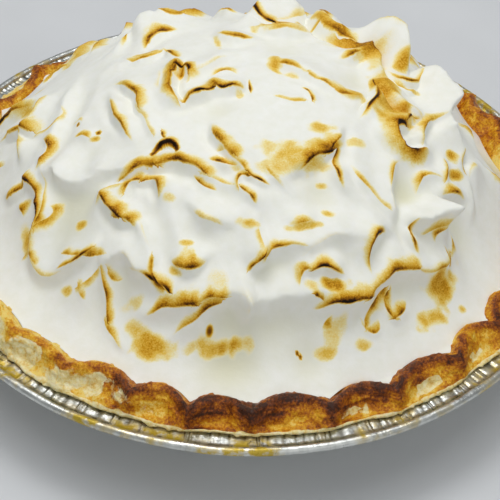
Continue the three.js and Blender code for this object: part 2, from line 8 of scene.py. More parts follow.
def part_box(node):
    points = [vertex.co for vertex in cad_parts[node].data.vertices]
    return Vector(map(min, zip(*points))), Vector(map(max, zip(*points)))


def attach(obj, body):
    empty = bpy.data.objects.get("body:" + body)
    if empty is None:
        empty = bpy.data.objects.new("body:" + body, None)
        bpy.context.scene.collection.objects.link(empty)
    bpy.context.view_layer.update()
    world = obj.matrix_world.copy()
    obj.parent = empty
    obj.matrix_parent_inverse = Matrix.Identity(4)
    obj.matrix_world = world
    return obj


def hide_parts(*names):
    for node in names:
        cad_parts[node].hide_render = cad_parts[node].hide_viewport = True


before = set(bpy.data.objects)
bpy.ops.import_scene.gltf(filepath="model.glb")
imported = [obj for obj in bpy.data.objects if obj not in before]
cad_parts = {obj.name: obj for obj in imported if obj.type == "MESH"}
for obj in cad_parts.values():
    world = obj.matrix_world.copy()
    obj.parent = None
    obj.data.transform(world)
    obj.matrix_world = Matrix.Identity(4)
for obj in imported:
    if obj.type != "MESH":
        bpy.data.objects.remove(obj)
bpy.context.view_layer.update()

# Geometry is worked out in millimetres and turned into metres when a mesh is made.
# X runs to the right, Y to the back and Z up, so the front of the pie faces -Y.
MM = 0.001
TURN = 2 * math.pi

# Least lengths to divide by
TINY = 1e-6
TINIEST = 1e-9


def node_reach(node):
    """Largest radius and lowest and highest level of a CAD node, in millimetres."""
    low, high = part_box(node)
    return max(abs(low[0]), high[0]) / MM, low[2] / MM, high[2] / MM


RIM_RADIUS, _, TIN_TOP = node_reach("foil_tin")

# ---------------------------------------------------------------- sizes that the solids share

TIN_FLOOR_RADIUS = 94
TIN_CORNER = 3
TIN_WALL_TOP = 109.5
ROLL = 1.5
FLANGE = TIN_TOP - ROLL
FOIL = 0.5

CRIMPS = 30
FIRST_PINCH = math.radians(-1)
FILLING = 31.8
PASTRY_FOOT = 99
PASTRY_EDGE = 114.5
LOBE_RADIUS = 102.8
PINCH_DEPTH = 5.6
PINCH_SHARPNESS = 1.15
ROPE_WIDTH = 5.2
ROPE_HEIGHT = 38.6
THUMB_DENT = 2.4

MOUND_RADIUS = 104
MOUND_EDGE = 37.5
MOUND_RISE = 55
MOUND_POWER = 2.35
MOUND_TOP = (9, -2)
SKIRT_DIP = 7
SKIRT_PLACE = 0.88
SKIRT_SPREAD = 0.1
BLEND_POWER = 3.5

# ---------------------------------------------------------------- number helpers


def mix(start, end, share):
    return start + (end - start) * share


def smoothstep(low, high, value):
    share = np.clip((value - low) / (high - low), 0, 1)
    return share * share * (3 - 2 * share)


def scatter(index, salt):
    """Repeatable number between 0 and 1 for a numbered thing; the salt tells its draws apart."""
    wave = np.sin(index * 12.9898 + salt * 78.233) * 43758.5453
    return wave - np.floor(wave)


def hashed(cells):
    """Repeatable number between -1 and 1 for each whole-numbered cell of space."""
    mixed = cells[:, 0] * 73856093 ^ cells[:, 1] * 19349663 ^ cells[:, 2] * 83492791
    mixed = (mixed ^ mixed >> 13) * 1274126177 & 0xFFFFFFFF
    return ((mixed ^ mixed >> 16) & 0xFFFF) / 32767.5 - 1


def noise(points, size, seed=0):
    """Smooth noise in -1..1 at (n, 3) points, with lumps about `size` millimetres across."""
    cell = points / size + seed * 17.31
    base = np.floor(cell).astype(np.int64)
    ease = smoothstep(0, 1, cell - base)
    total = np.zeros(len(points))
    for corner in range(8):
        step = np.array([corner & 1, corner >> 1 & 1, corner >> 2 & 1])
        total += np.prod(np.where(step, ease, 1 - ease), axis=1) * hashed(base + step)
    return total


def noises(points, parts, start=0):
    """Adds up noises, each given as its depth, size and seed."""
    return sum((depth * noise(points, size, seed) for depth, size, seed in parts), start)


def waves(angle, parts, start=0):
    """Adds up waves round the pie, each given as its size, count and shift."""
    return sum((size * np.sin(count * angle + shift) for size, count, shift in parts), start)


def turned(radius, angle, height):
    """Points at a radius and an angle round the pie's axis, and at a height."""
    return np.stack([radius * np.cos(angle), radius * np.sin(angle), height], 1)


def far_from(place, x, y):
    """How far points are from one place in the plan."""
    return np.hypot(place[:, 0] - x, place[:, 1] - y)


# ---------------------------------------------------------------- mesh helpers


def stitch(upper, upper_count, lower, lower_count, faces):
    """Triangles between two rings of any counts, each given by its first vertex."""
    i = j = 0
    while i < upper_count or j < lower_count:
        corner = (upper + i % upper_count, lower + j % lower_count)
        if i == upper_count or (j < lower_count and (j + 1) / lower_count <= (i + 1) / upper_count):
            j += 1
            if lower_count > 1:
                faces.append((*corner, lower + j % lower_count))
        else:
            i += 1
            if upper_count > 1:
                faces.append((*corner, upper + i % upper_count))


def skin_over(counts):
    """Faces of a closed skin over a stack of rings with these vertex counts."""
    faces = []
    start = 0
    for upper_count, lower_count in zip(counts, counts[1:]):
        stitch(start, upper_count, start + upper_count, lower_count, faces)
        start += upper_count
    return faces


def edge_ends(faces):
    """Both ends of every edge of the faces, in both directions where two faces share it."""
    corners = np.array(faces)
    return corners.ravel(), np.roll(corners, -1, axis=1).ravel()


def neighbour_mean(values, start, end):
    """Mean of the values at each point's neighbours."""
    degree = np.maximum(np.bincount(start, minlength=len(values)), 1)
    total = np.stack([np.bincount(start, column[end], len(values)) for column in values.T], 1)
    return total / degree[:, None]


def make_piece(name, points, faces, node, material, masks=None):
    """A smooth mesh object that rides on the body and stands for one CAD node."""
    mesh = bpy.data.meshes.new(name)
    mesh.from_pydata((points * MM).tolist(), [], faces)
    mesh.shade_smooth()
    for mask, values in (masks or {}).items():
        layer = mesh.attributes.new(mask, "FLOAT", "POINT")
        layer.data.foreach_set("value", np.clip(values, 0, 1).astype(np.float32))
    mesh.materials.append(material)
    piece = bpy.data.objects.new(name, mesh)
    bpy.context.collection.objects.link(piece)
    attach(piece, "root")
    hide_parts(node)
    return piece


# ---------------------------------------------------------------- material helpers


def shader_operator(operation):
    """A Python operator that becomes a node of the shader."""
    def work_out(first, second):
        return first.look.maths(operation, first, second)
    return work_out


class Value:
    """A number or colour of the shader, which can be reckoned with like a plain number."""

    __add__ = shader_operator("ADD")
    __sub__ = shader_operator("SUBTRACT")
    __mul__ = shader_operator("MULTIPLY")
    __truediv__ = shader_operator("DIVIDE")
    __pow__ = shader_operator("POWER")

    def __init__(self, look, socket):
        self.look = look
        self.socket = socket

    def __rsub__(self, first):
        return self.look.maths("SUBTRACT", first, self)

    def fading(self):
        """e to the power of minus this value: 1 at nothing and less and less beyond."""
        return self.look.maths("POWER", math.e, self * -1.0)


class Nodes:
    """Short way to write a node material."""

    def __init__(self, name):
        self.material = bpy.data.materials.new(name)
        self.material.use_nodes = True
        self.tree = self.material.node_tree
        self.shader = self.tree.nodes["Principled BSDF"]
        self.place = Value(self, self.add("ShaderNodeTexCoord").outputs["Object"])

    def add(self, kind, **inputs):
        node = self.tree.nodes.new(kind)
        for key, value in inputs.items():
            self.feed(node, key, value)
        return node

    def feed(self, node, key, value):
        """Sets an input, given by its name or as _ and its number."""
        socket = node.inputs[int(key[1:]) if key[0] == "_" else key.replace("_", " ")]
        if isinstance(value, Value):
            self.tree.links.new(value.socket, socket)
        else:
            socket.default_value = value

    def mask(self, name):
        node = self.add("ShaderNodeAttribute")
        node.attribute_name = name
        return Value(self, node.outputs["Fac"])

    def grain(self, size, detail=2.0, rough=0.5):
        """Noise in 0..1 with lumps about `size` millimetres across."""
        node = self.add("ShaderNodeTexNoise", Scale=1 / (size * MM), Detail=detail, Roughness=rough,
                        Vector=self.place)
        return Value(self, node.outputs["Fac"])

    def maths(self, operation, first, second=0.0):
        node = self.add("ShaderNodeMath", _0=first, _1=second)
        node.operation = operation
        return Value(self, node.outputs[0])

    def highest(self, first, second):
        return self.maths("MAXIMUM", first, second)

    def ramp(self, value, stops):
        """Colour or grey along a value: stops are (position, colour)."""
        node = self.add("ShaderNodeValToRGB", Fac=value)
        band = node.color_ramp
        while len(band.elements) < len(stops):
            band.elements.new(0.5)
        for element, (position, colour) in zip(band.elements, stops):
            element.position = position
            element.color = colour if isinstance(colour, tuple) else (colour, colour, colour, 1)
        return Value(self, node.outputs["Color"])

    def layers(self, table):
        """A noise run through stops for each row of a table of looks."""
        return {name: self.ramp(self.grain(*grain), stops) for name, (grain, stops) in table.items()}

    def blend(self, share, first, second):
        node = self.tree.nodes.new("ShaderNodeMix")
        node.data_type = "RGBA"
        self.feed(node, "_0", share)
        self.feed(node, "_6", first)
        self.feed(node, "_7", second)
        return Value(self, node.outputs[2])

    def bump(self, height, distance, strength=1.0, normal=None):
        node = self.add("ShaderNodeBump", Height=height, Distance=distance * MM, Strength=strength)
        if normal is not None:
            self.feed(node, "Normal", normal)
        return Value(self, node.outputs["Normal"])

    def finish(self, **inputs):
        for key, value in inputs.items():
            self.feed(self.shader, key, value)
        return self.material


def rgb(red, green, blue):
    """A colour given as it shows on screen (0..255), turned into linear light."""
    def linear(part):
        part /= 255
        return part / 12.92 if part <= 0.04045 else ((part + 0.055) / 1.055) ** 2.4
    return (linear(red), linear(green), linear(blue), 1)


# ---------------------------------------------------------------- foil tin

PLEATS = 216
PLEAT_COLUMNS = 8
FLANGE_PLEAT = 0.24
WALL_FLUTE = 0.55

# A raised bead in the floor: how far in from the floor's edge, and its height
FLOOR_BEAD = [(14, 0), (12, 0.5), (9, 0.5), (7, 0)]
FLOOR_ROOM = 0.1
CORNER_LEAN = 0.6
INSIDE_CORNER_LEAN = 0.4
SHOULDER_WIDTH = 0.9
SHOULDER_DROP = 1.6
INSIDE_SHOULDER_DROP = 1.8
ROLL_START = -150
ROLL_END = 165
CORNER_STEPS = 4
WALL_STEPS = 8
FLANGE_STEPS = 5
ROLL_STEPS = 12

# How strong the pleats are, as a share: along the flange, and the flutes along the wall
SHOULDER_PLEAT = 0.5
GROOVE_PLEAT = 1.1
ROLL_PLEAT = 0.12
CORNER_FLUTE = 0.25
SHOULDER_FLUTE = 0.6

# A pleat is a sharp crease, a raised flare beside it and finer wrinkles over the rest of it.
# Places and widths are shares of a pleat; depths differ from pleat to pleat and group to group.
CREASE_WIDTH = 0.1
CREASE_DEPTH = 1.3
FLARE_WIDTH = 0.16
FLARE_PLACE = (0.25, 0.4)
WRINKLE_DEPTH = 0.4
WRINKLES = 2
PLEAT_DEPTH = (0.25, 1.2)
GROUP_DEPTH = (0.6, 1.2)
GROUPS_PER_RADIAN = 26

# Waves round the tin: size, count and shift
FLANGE_SWAY = [(0.35, 5, 1), (0.3, 13, 0)]
SWAY_SHARE = 0.5
SWAY_POWER = 0.2
SLIP_WAVES = [(1, 37, 2), (1, 61, 0)]
PLEAT_SLIP = 0.3
FOIL_WRINKLES = [(0.12, 4.5, 3), (0.25, 13, 4)]

# How deep a crease is when its painted shade and dirt start and when they are full
CREASE_SHADE_AND_DIRT_RANGE = (0.2, -0.85)
CREASE_SHADE_AND_DIRT_GAIN = 1.4
# Painted shade and dirt in the foil's creases: the colour they darken the metal towards
CREASE_SHADE_AND_DIRT_COLOUR = rgb(68, 64, 48)
STAIN_COLOUR = rgb(188, 160, 46)
BURNT_COLOUR = rgb(58, 50, 28)
FLANGE_SCALE = 130
ON_FLANGE = [(0.85, 0.0), (0.90, 1.0)]
STAINED_METAL = [(0.2, 1.0), (0.7, 0.35)]
FINE_CRINKLE = (0.9, 3, 0.6)
FINE_CRINKLE_DEPTH = 0.12
CRINKLE = (6, 2)
CRINKLE_DEPTH = 0.6
CRINKLE_STRENGTH = 0.7

# Each look is a noise (size of its lumps, detail, roughness) and the stops that it runs through
FOIL_LOOKS = {
    "stain": ((26, 3, 0.6), [(0.45, 0.0), (0.54, 1.0)]),
    "speck": ((2.2, 3, 0.7), [(0.62, 0.0), (0.72, 1.0)]),
    "blotch": ((3.4, 3, 0.55), [(0.36, 0.0), (0.56, 1.0)]),
    "metal": ((3, 3), [(0.3, rgb(196, 198, 194)), (0.7, rgb(224, 226, 222))]),
    # how strong the painted crease shade and grime are, at random
    "shade_and_grime": ((7, 3, 0.6), [(0.35, 0.45), (0.65, 0.95)]),
    "rough": ((5, 3), [(0.3, 0.24), (0.7, 0.42)]),
}


def tin_profile():
    """Section of the tin as rows of radius, height, flange pleat and wall flute."""
    roll_centre = RIM_RADIUS - ROLL
    groove = roll_centre - ROLL
    corner_start = TIN_FLOOR_RADIUS - TIN_CORNER
    wall_foot = TIN_FLOOR_RADIUS + CORNER_LEAN
    shoulder = TIN_WALL_TOP + SHOULDER_WIDTH
    rows = [(0, 0, 0, 0)]
    rows += [(TIN_FLOOR_RADIUS - inward, height, 0, 0) for inward, height in FLOOR_BEAD]
    for step in range(CORNER_STEPS + 1):
        angle = math.pi / 2 * step / CORNER_STEPS
        rows.append((mix(corner_start, wall_foot, math.sin(angle)), TIN_CORNER * (1 - math.cos(angle)),
                     0, CORNER_FLUTE * step / CORNER_STEPS))
    for step in range(1, WALL_STEPS + 1):
        share = step / WALL_STEPS
        rows.append((mix(wall_foot, TIN_WALL_TOP, share), mix(TIN_CORNER, FLANGE - SHOULDER_DROP, share),
                     0, mix(CORNER_FLUTE, 1, share)))
    rows.append((shoulder, FLANGE - FOIL, SHOULDER_PLEAT, SHOULDER_FLUTE))
    for step in range(1, FLANGE_STEPS + 1):
        share = step / FLANGE_STEPS
        rows.append((mix(shoulder, groove, share), FLANGE - FOIL,
                     mix(SHOULDER_PLEAT, GROOVE_PLEAT, share), 0))
    for step in range(ROLL_STEPS + 1):
        angle = math.radians(mix(ROLL_START, ROLL_END, step / ROLL_STEPS))
        rows.append((roll_centre + ROLL * math.cos(angle), FLANGE + ROLL * math.sin(angle), ROLL_PLEAT, 0))
    for step in range(FLANGE_STEPS + 1):
        share = step / FLANGE_STEPS
        rows.append((mix(groove, shoulder, share), FLANGE, mix(GROOVE_PLEAT, SHOULDER_PLEAT, share), 0))
    rows.append((TIN_WALL_TOP - FOIL, FLANGE - INSIDE_SHOULDER_DROP, 0, SHOULDER_FLUTE))
    rows.append((TIN_FLOOR_RADIUS + INSIDE_CORNER_LEAN, TIN_CORNER, 0, 0))
    rows += [(radius, FOIL + FLOOR_ROOM, 0, 0) for radius in (corner_start, 0)]
    return rows


def pleat_wave(angle):
    """How far the foil stands out at each angle, without its size."""
    columns = np.arange(len(angle))
    pleat = columns // PLEAT_COLUMNS
    part = columns % PLEAT_COLUMNS / PLEAT_COLUMNS
    crease = np.minimum(part, 1 - part)
    flare = np.abs(part - mix(*FLARE_PLACE, scatter(pleat, 8)))
    wrinkled = WRINKLE_DEPTH * np.sin(TURN * (WRINKLES * part + scatter(pleat, 9)))
    wave = (np.exp(-(flare / FLARE_WIDTH) ** 2) - CREASE_DEPTH * np.exp(-(crease / CREASE_WIDTH) ** 2)
            + wrinkled)
    group = np.round(angle * GROUPS_PER_RADIAN)
    return wave, mix(*PLEAT_DEPTH, scatter(pleat, 3)) * mix(*GROUP_DEPTH, scatter(group, 12))


def build_tin():
    columns = PLEATS * PLEAT_COLUMNS
    angle = TURN * np.arange(columns) / columns
    wave, depth = pleat_wave(angle)
    sway = waves(angle, FLANGE_SWAY)
    around = angle + PLEAT_SLIP * TURN / PLEATS * waves(angle, SLIP_WAVES)
    points, counts, crease_shade_and_dirt = [], [], []
    for radius, height, flange, flute in np.array(tin_profile()):
        if radius == 0:
            points.append(np.array([[0, 0, height]]))
            counts.append(1)
            crease_shade_and_dirt.append([0])
            continue
        # painted shade and dirt in the creases, stronger the deeper the crease
        crease_shade_and_dirt.append(smoothstep(*CREASE_SHADE_AND_DIRT_RANGE, wave * depth) * min(1, CREASE_SHADE_AND_DIRT_GAIN * max(flange, flute)))
        reach = radius + WALL_FLUTE * flute * wave * depth
        swung = SWAY_SHARE * sway * (radius > TIN_WALL_TOP) * flange ** SWAY_POWER
        lift = FLANGE_PLEAT * flange * wave * depth + swung
        points.append(turned(reach, around, np.full(columns, height) + lift))
        counts.append(columns)
    points = np.concatenate(points)
    wrinkle = noises(points, FOIL_WRINKLES)
    points[:, 2] += wrinkle * smoothstep(TIN_CORNER, FLANGE, points[:, 2])
    points[:, 2] = np.clip(points[:, 2], 0, TIN_TOP)
    plan = far_from(points, 0, 0)
    points[:, :2] *= np.minimum(1, RIM_RADIUS / np.maximum(plan, 1))[:, None]
    faces = [face[::-1] for face in skin_over(counts)]
    return make_piece("foil_tin_pleated", points, faces, "foil_tin", foil_material(),
                      {"crease_shade_and_dirt": np.concatenate(crease_shade_and_dirt)})


def foil_material():
    look = Nodes("foil")
    layer = look.layers(FOIL_LOOKS)
    place = look.add("ShaderNodeSeparateXYZ", _0=look.place)
    x, y = (Value(look, place.outputs[axis]) for axis in range(2))
    radius = (x * x + y * y) ** 0.5
    on_flange = look.ramp(radius * (1 / (FLANGE_SCALE * MM)), ON_FLANGE)
    stained = layer["stain"] * layer["blotch"] * on_flange
    burnt = layer["speck"] * layer["stain"] * on_flange
    # the creases are darkened with painted shade and grime
    metal = look.blend(look.mask("crease_shade_and_dirt") * layer["shade_and_grime"], layer["metal"], CREASE_SHADE_AND_DIRT_COLOUR)
    colour = look.blend(burnt, look.blend(stained, metal, STAIN_COLOUR), BURNT_COLOUR)
    fine = look.bump(look.grain(*FINE_CRINKLE), FINE_CRINKLE_DEPTH)
    crinkle = look.bump(look.grain(*CRINKLE), CRINKLE_DEPTH, CRINKLE_STRENGTH, fine)
    return look.finish(Base_Color=colour, Roughness=layer["rough"],
                       Metallic=look.ramp(stained, STAINED_METAL), Normal=crinkle)


# ---------------------------------------------------------------- pastry

CRUST_COLUMNS = 1200
PROFILE_STEPS = 9
DENT_SKEW = math.radians(1.6)

# Waves round the pastry: size, count and shift
CRIMP_DRIFT = [(0.11, 5, 2.4), (0.06, 11, 0)]
LOBE_WAVES = [(0.5, 4, 1), (0.35, 9, 4)]
ROPE_WAVES = [(0.5, 3, 2), (0.45, 13, 1)]
EDGE_WAVES = [(0.35, 17, 0), (0.3, 29, 2)]

# Parts of the way round: the middle, how far it is full and where it ends, in degrees.
# Right and back, the meringue has shrunk down from the pastry; at the front left the rope of
# dough lies further out and is pinched less.
RISEN_SIDE = (12, 22, 44)
SLACK_SIDE = (226, 4, 22)
RISEN_ROPE = 2
SLACK_REACH = 2.2
SLACK_PINCH = 0.6
PINCHED_EDGE = 0.4

# The rope's section: share of its width and drop from its top
ROPE_SECTION = [(0, 1.3), (0.32, 0), (0.68, 0.3), (1, 2.6)]
DENT_PLACE = 0.45
DENT_DROP = 4.2
EDGE_LIFT = 0.45
EDGE_THICKNESS = 1.1
EDGE_UNDERCUT = 0.3

# The pastry below its edge, inside the tin: radius and height
CRUST_FLOOR = 1.2
HIDDEN_SECTION = [(TIN_WALL_TOP - 1.1, FLANGE + 0.3), (TIN_WALL_TOP - 1.6, FLANGE - 1.8),
                  (TIN_FLOOR_RADIUS - TIN_CORNER, CRUST_FLOOR)]

# Relief: noises as depth, size and seed, and the rows over which it starts and ends
DOUGH_LUMPS = [(0.55, 6, 1), (0.28, 2.6, 2), (0.12, 1.1, 5)]
BLISTER_DEPTH = 0.5
BLISTER_NOISE = (2.2, 7)
BLISTER_RANGE = (0.35, 0.8)
FLAKE_DEPTH = 0.35
FLAKE_NOISE = (4, 9)
FLAKE_STRETCH = [1, 1, 3]
FLAKE_RANGE = (0.1, 0.2)
RELIEF_START = (0, 4)
RELIEF_END = (8, 4)

# Browning goes by the level down the section, in control points from its inner foot. The rope's
# crest is dark; each thumb dent is pale, with a painted shadow line above it and a golden glow below it.
# Ragged borders and shifts are noises as depth, size and seed.
CREST_LEVEL = 2.6
CREST_SPREAD = 1.3
CREST_POWER = 2.5
DENT_LEVEL = 4.8
DENT_SPREAD = 0.45
DENT_POWER = 4
DENT_SHIFT = [(-0.35, 4, 13)]
DENT_RAGGED = [(0.4, 8, 11), (0.3, 2, 14)]
DENT_LOBE = (0.72, 1.0)
FRONT_DENTS = (268, 14, 36)
FRONT_DENT_LOSS = 0.75
# A painted shadow line just above each thumb dent: its level, width and lobe range
DENT_SHADOW_LEVEL = -0.55
DENT_SHADOW_SPREAD = 0.16
DENT_SHADOW_LOBE = (0.6, 0.9)
GLOW_LEVEL = 0.4
GLOW_SPREAD = 0.35
GLOW_LOBE = (0.4, 0.9)
PALE_EDGE = 0.9
EDGE_RANGE = (5.6, 5.95)
EDGE_RAGGED = [(0.15, 3, 16)]
FLAKY_MIDDLE = math.radians(228)
FLAKY_WIDTH = math.radians(20)
FLAKY_RANGE = (2.6, 4.0)
FLAKY_RAGGED = [(1.1, 8, 11), (0.5, 3, 15)]
BROWN_BASE = 0.34
BROWN_CREST = 0.36
BROWN_PINCH = 0.26
BROWN_NOISE = [(0.3, 11, 12), (0.12, 3, 15)]
BROWN_DENT_SHADOW = 0.25
BROWN_GLOW = -0.2
BROWN_FLAKY = -0.52

# Sides that are browner or paler than the rest: how much, then the part of the way round
BROWN_SIDES = [(-0.3, (150, 25, 60)), (-0.2, RISEN_SIDE), (0.12, (278, 16, 40))]

PASTRY_GRAIN = (0.9, 4, 0.75)
GRAIN_TONE = 1.3
GRAIN_DEPTH = 0.4
GRAIN_STRENGTH = 0.8
MOTTLE = (4.5, 3, 0.6)
MOTTLE_TONE = 1.1
PALE_GRAIN = (3.0, 4, 0.7)
PALE_GRAIN_SHARE = 0.9
PALE_STOPS = [(0.82, 0.0), (0.96, 1.0)]
FINE_GRAIN = (0.5, 3, 0.6)
FINE_GRAIN_DEPTH = 0.12
BAKED_STOPS = [
    (0.0, rgb(244, 214, 116)), (0.2, rgb(232, 178, 40)), (0.4, rgb(208, 138, 6)),
    (0.58, rgb(174, 96, 0)), (0.76, rgb(122, 56, 0)), (1.0, rgb(60, 24, 0)),
]
PASTRY_LOOKS = {
    "soft": ((2.0, 4, 0.7), [
        (0.3, rgb(216, 168, 66)), (0.46, rgb(240, 218, 146)), (0.66, rgb(250, 241, 200))]),
    "rough": ((2, 3), [(0.3, 0.26), (0.7, 0.55)]),
}
PASTRY_SHINE = {"Specular_IOR_Level": 0.3, "Subsurface_Weight": 0.08, "Subsurface_Radius": (1.0, 0.4, 0.15),
                "Subsurface_Scale": 1.2 * MM}


def crimp_phase(angle):
    count = CRIMPS * (angle - FIRST_PINCH) / TURN + waves(angle, CRIMP_DRIFT)
    return count - np.floor(count)


def pinch_at(angle):
    """1 in a pinch, where the rope of dough is pushed outward, and 0 on a lobe."""
    return (1 - np.sin(np.pi * crimp_phase(angle))) ** PINCH_SHARPNESS


def bump_at(angle, middle, full, none):
    """1 at an angle round the pie, 0 beyond some way from it; all in degrees but the first."""
    off = angle - math.radians(middle)
    away = np.abs(np.arctan2(np.sin(off), np.cos(off)))
    return 1 - smoothstep(math.radians(full), math.radians(none), away)


def bell(value, middle, width, power=2):
    """1 at the middle and less and less away from it."""
    return np.exp(-(np.abs(value - middle) / width) ** power)


def inner_lobe(angle):
    slack = bump_at(angle, *SLACK_SIDE)
    pushed = PINCH_DEPTH * pinch_at(angle) * (1 - SLACK_PINCH * slack)
    return waves(angle, LOBE_WAVES, LOBE_RADIUS + pushed + SLACK_REACH * slack)


def rope_top(angle):
    return waves(angle, ROPE_WAVES, ROPE_HEIGHT) + RISEN_ROPE * bump_at(angle, *RISEN_SIDE)


def edge_radius(angle):
    return waves(angle, EDGE_WAVES, PASTRY_EDGE) + PINCHED_EDGE * pinch_at(angle)


def crust_controls(angle):
    """Points of the pastry's section at each angle, from its inner foot to its underside."""
    lobe, top, edge = inner_lobe(angle), rope_top(angle), edge_radius(angle)
    base = FLANGE + EDGE_LIFT
    dent_radius = mix(lobe + ROPE_WIDTH, edge, DENT_PLACE)
    dent_height = top - DENT_DROP - THUMB_DENT * (1 - pinch_at(angle + DENT_SKEW))
    return [
        (np.full_like(angle, PASTRY_FOOT), np.full_like(angle, FILLING)),
        *[(lobe + share * ROPE_WIDTH, top - drop) for share, drop in ROPE_SECTION],
        (dent_radius, dent_height),
        (edge, np.full_like(angle, base + EDGE_THICKNESS)),
        (edge - EDGE_UNDERCUT, np.full_like(angle, base)),
    ]


def catmull(points, steps):
    """Smooth rows through control rows; each row is an (n, 2) array."""
    rows = []
    for k in range(len(points) - 1):
        before, start = points[max(k - 1, 0)], points[k]
        end, after = points[k + 1], points[min(k + 2, len(points) - 1)]
        for step in range(steps):
            t = step / steps
            rows.append(0.5 * (2 * start + (end - before) * t
                               + (2 * before - 5 * start + 4 * end - after) * t ** 2
                               + (3 * start - before - 3 * end + after) * t ** 3))
    rows.append(points[-1])
    return rows


def dough_relief(points, row, row_count):
    """Lumps, blisters and flakes, which fade out where the meringue or the tin covers the dough."""
    blister = BLISTER_DEPTH * smoothstep(*BLISTER_RANGE, noise(points, *BLISTER_NOISE))
    flake = FLAKE_DEPTH * smoothstep(*FLAKE_RANGE, noise(points * FLAKE_STRETCH, *FLAKE_NOISE))
    end_start, end_full = (row_count - rows for rows in RELIEF_END)
    shown = smoothstep(*RELIEF_START, row) * (1 - smoothstep(end_start, end_full, row))
    return (noises(points, DOUGH_LUMPS) + blister + flake) * shown


def browning(points, around, level):
    """How pale and how brown the pastry is at each point; the brown holds a painted shadow line above each
    dent.
    """
    lobe = 1 - pinch_at(around + DENT_SKEW)
    drop = noises(points, DENT_SHIFT, level - DENT_LEVEL)
    ragged = noises(points, DENT_RAGGED, lobe)
    dents = bell(drop, 0, DENT_SPREAD, DENT_POWER) * smoothstep(*DENT_LOBE, ragged)
    dents *= 1 - FRONT_DENT_LOSS * bump_at(around, *FRONT_DENTS)
    # painted shadow line under each dent's upper edge
    dent_shadow = bell(drop, DENT_SHADOW_LEVEL, DENT_SHADOW_SPREAD) * smoothstep(*DENT_SHADOW_LOBE, lobe)
    glow = bell(drop, GLOW_LEVEL, GLOW_SPREAD) * smoothstep(*GLOW_LOBE, lobe)
    edge = smoothstep(*EDGE_RANGE, noises(points, EDGE_RAGGED, level))
    flaky = bell(around, FLAKY_MIDDLE, FLAKY_WIDTH)
    torn = flaky * smoothstep(*FLAKY_RANGE, level) * noises(points, FLAKY_RAGGED, 1.0)
    brown = BROWN_BASE + BROWN_CREST * bell(level, CREST_LEVEL, CREST_SPREAD, CREST_POWER)
    brown = noises(points, BROWN_NOISE, brown + BROWN_PINCH * pinch_at(around))
    brown = brown + BROWN_DENT_SHADOW * dent_shadow + BROWN_GLOW * glow + BROWN_FLAKY * flaky
    for change, side in BROWN_SIDES:
        brown = brown + change * bump_at(around, *side)
    return np.clip(dents + PALE_EDGE * edge + torn, 0, 1), np.clip(brown, 0, 1)


def build_crust():
    angle = TURN * np.arange(CRUST_COLUMNS) / CRUST_COLUMNS
    rows = catmull([np.stack(pair, 1) for pair in crust_controls(angle)], PROFILE_STEPS)
    rows += [np.stack([np.full_like(angle, part) for part in pair], 1) for pair in HIDDEN_SECTION]
    row_count = len(rows)
    section = np.stack(rows)
    flat = np.concatenate(section)
    around = np.tile(angle, row_count)
    row = np.repeat(np.arange(row_count), CRUST_COLUMNS)
    points = turned(flat[:, 0], around, flat[:, 1])
    # the relief stands out square to the section
    run = np.gradient(section, axis=0)
    out = np.stack([-run[..., 1], run[..., 0]], -1)
    out /= np.maximum(np.linalg.norm(out, axis=-1, keepdims=True), TINY)
    out = np.concatenate(out)
    push = dough_relief(points, row, row_count)
    points += turned(push * out[:, 0], around, push * out[:, 1])
    pale, brown = browning(points, around, row / PROFILE_STEPS)
    points = np.concatenate([[[0, 0, FILLING]], points, [[0, 0, CRUST_FLOOR]]])
    faces = skin_over([1] + [CRUST_COLUMNS] * row_count + [1])
    return make_piece("crust_baked", points, faces, "crust", pastry_material(),
                      {"pale": np.r_[0, pale, 0], "brown": np.r_[0, brown, 0]})


def pastry_material():
    look = Nodes("pastry")
    layer = look.layers(PASTRY_LOOKS)
    grain = look.grain(*PASTRY_GRAIN)
    tone = look.mask("brown") + (look.grain(*MOTTLE) - 0.5) * MOTTLE_TONE + (grain - 0.5) * GRAIN_TONE
    pale = look.ramp(look.mask("pale") + look.grain(*PALE_GRAIN) * PALE_GRAIN_SHARE, PALE_STOPS)
    fine = look.bump(look.grain(*FINE_GRAIN), FINE_GRAIN_DEPTH)
    return look.finish(Base_Color=look.blend(pale, look.ramp(tone, BAKED_STOPS), layer["soft"]),
                       Roughness=layer["rough"],
                       Normal=look.bump(grain, GRAIN_DEPTH, GRAIN_STRENGTH, fine), **PASTRY_SHINE)


# ---------------------------------------------------------------- meringue

MOUND_RINGS = 196
POINTS_PER_RING = 5.0
FRONT_CROWDING = 0.35
SLOPE_STEPS = 2001
TIP_ROOM = 3

# How a fold's section goes: its gentle side is a tent, or rounder where it is tall for its width;
# its steep side falls off within the steep reach, and a hollow follows
TENT_POWER = 1.7
ROUND_RANGE = (0.9, 1.3)
STEEP_SIDE = 1.3
STEEP_PER_HOLLOW = 0.25
STEEP_PER_HEIGHT = 0.45
STEEP_POWER = 1.4
TALL_FOLD = 8
HOLLOW_SHARE = 0.72
HOLLOW_SCALE = 27 / 4
SIDE_NEAR = 0.3
SIDE_POWER = 4
SIDE_SOFT = 0.5
LEAN_SHARE = 0.3
LEAN_REACH = 3.0

# How a fold's course goes: an arc that wavers a little and sinks at its ends
COURSE_STEPS = 12
SLIGHT_BOW = 0.02
WAVER_SHARE = 0.02
WAVER_MOST = 0.35
WAVER_LENGTH = 11
JOINT_REACH = 3.2
FREE_END = 0.12
JOINED_END = 0.88
END_LENGTH = 0.42
FOLD_ROOM = 3

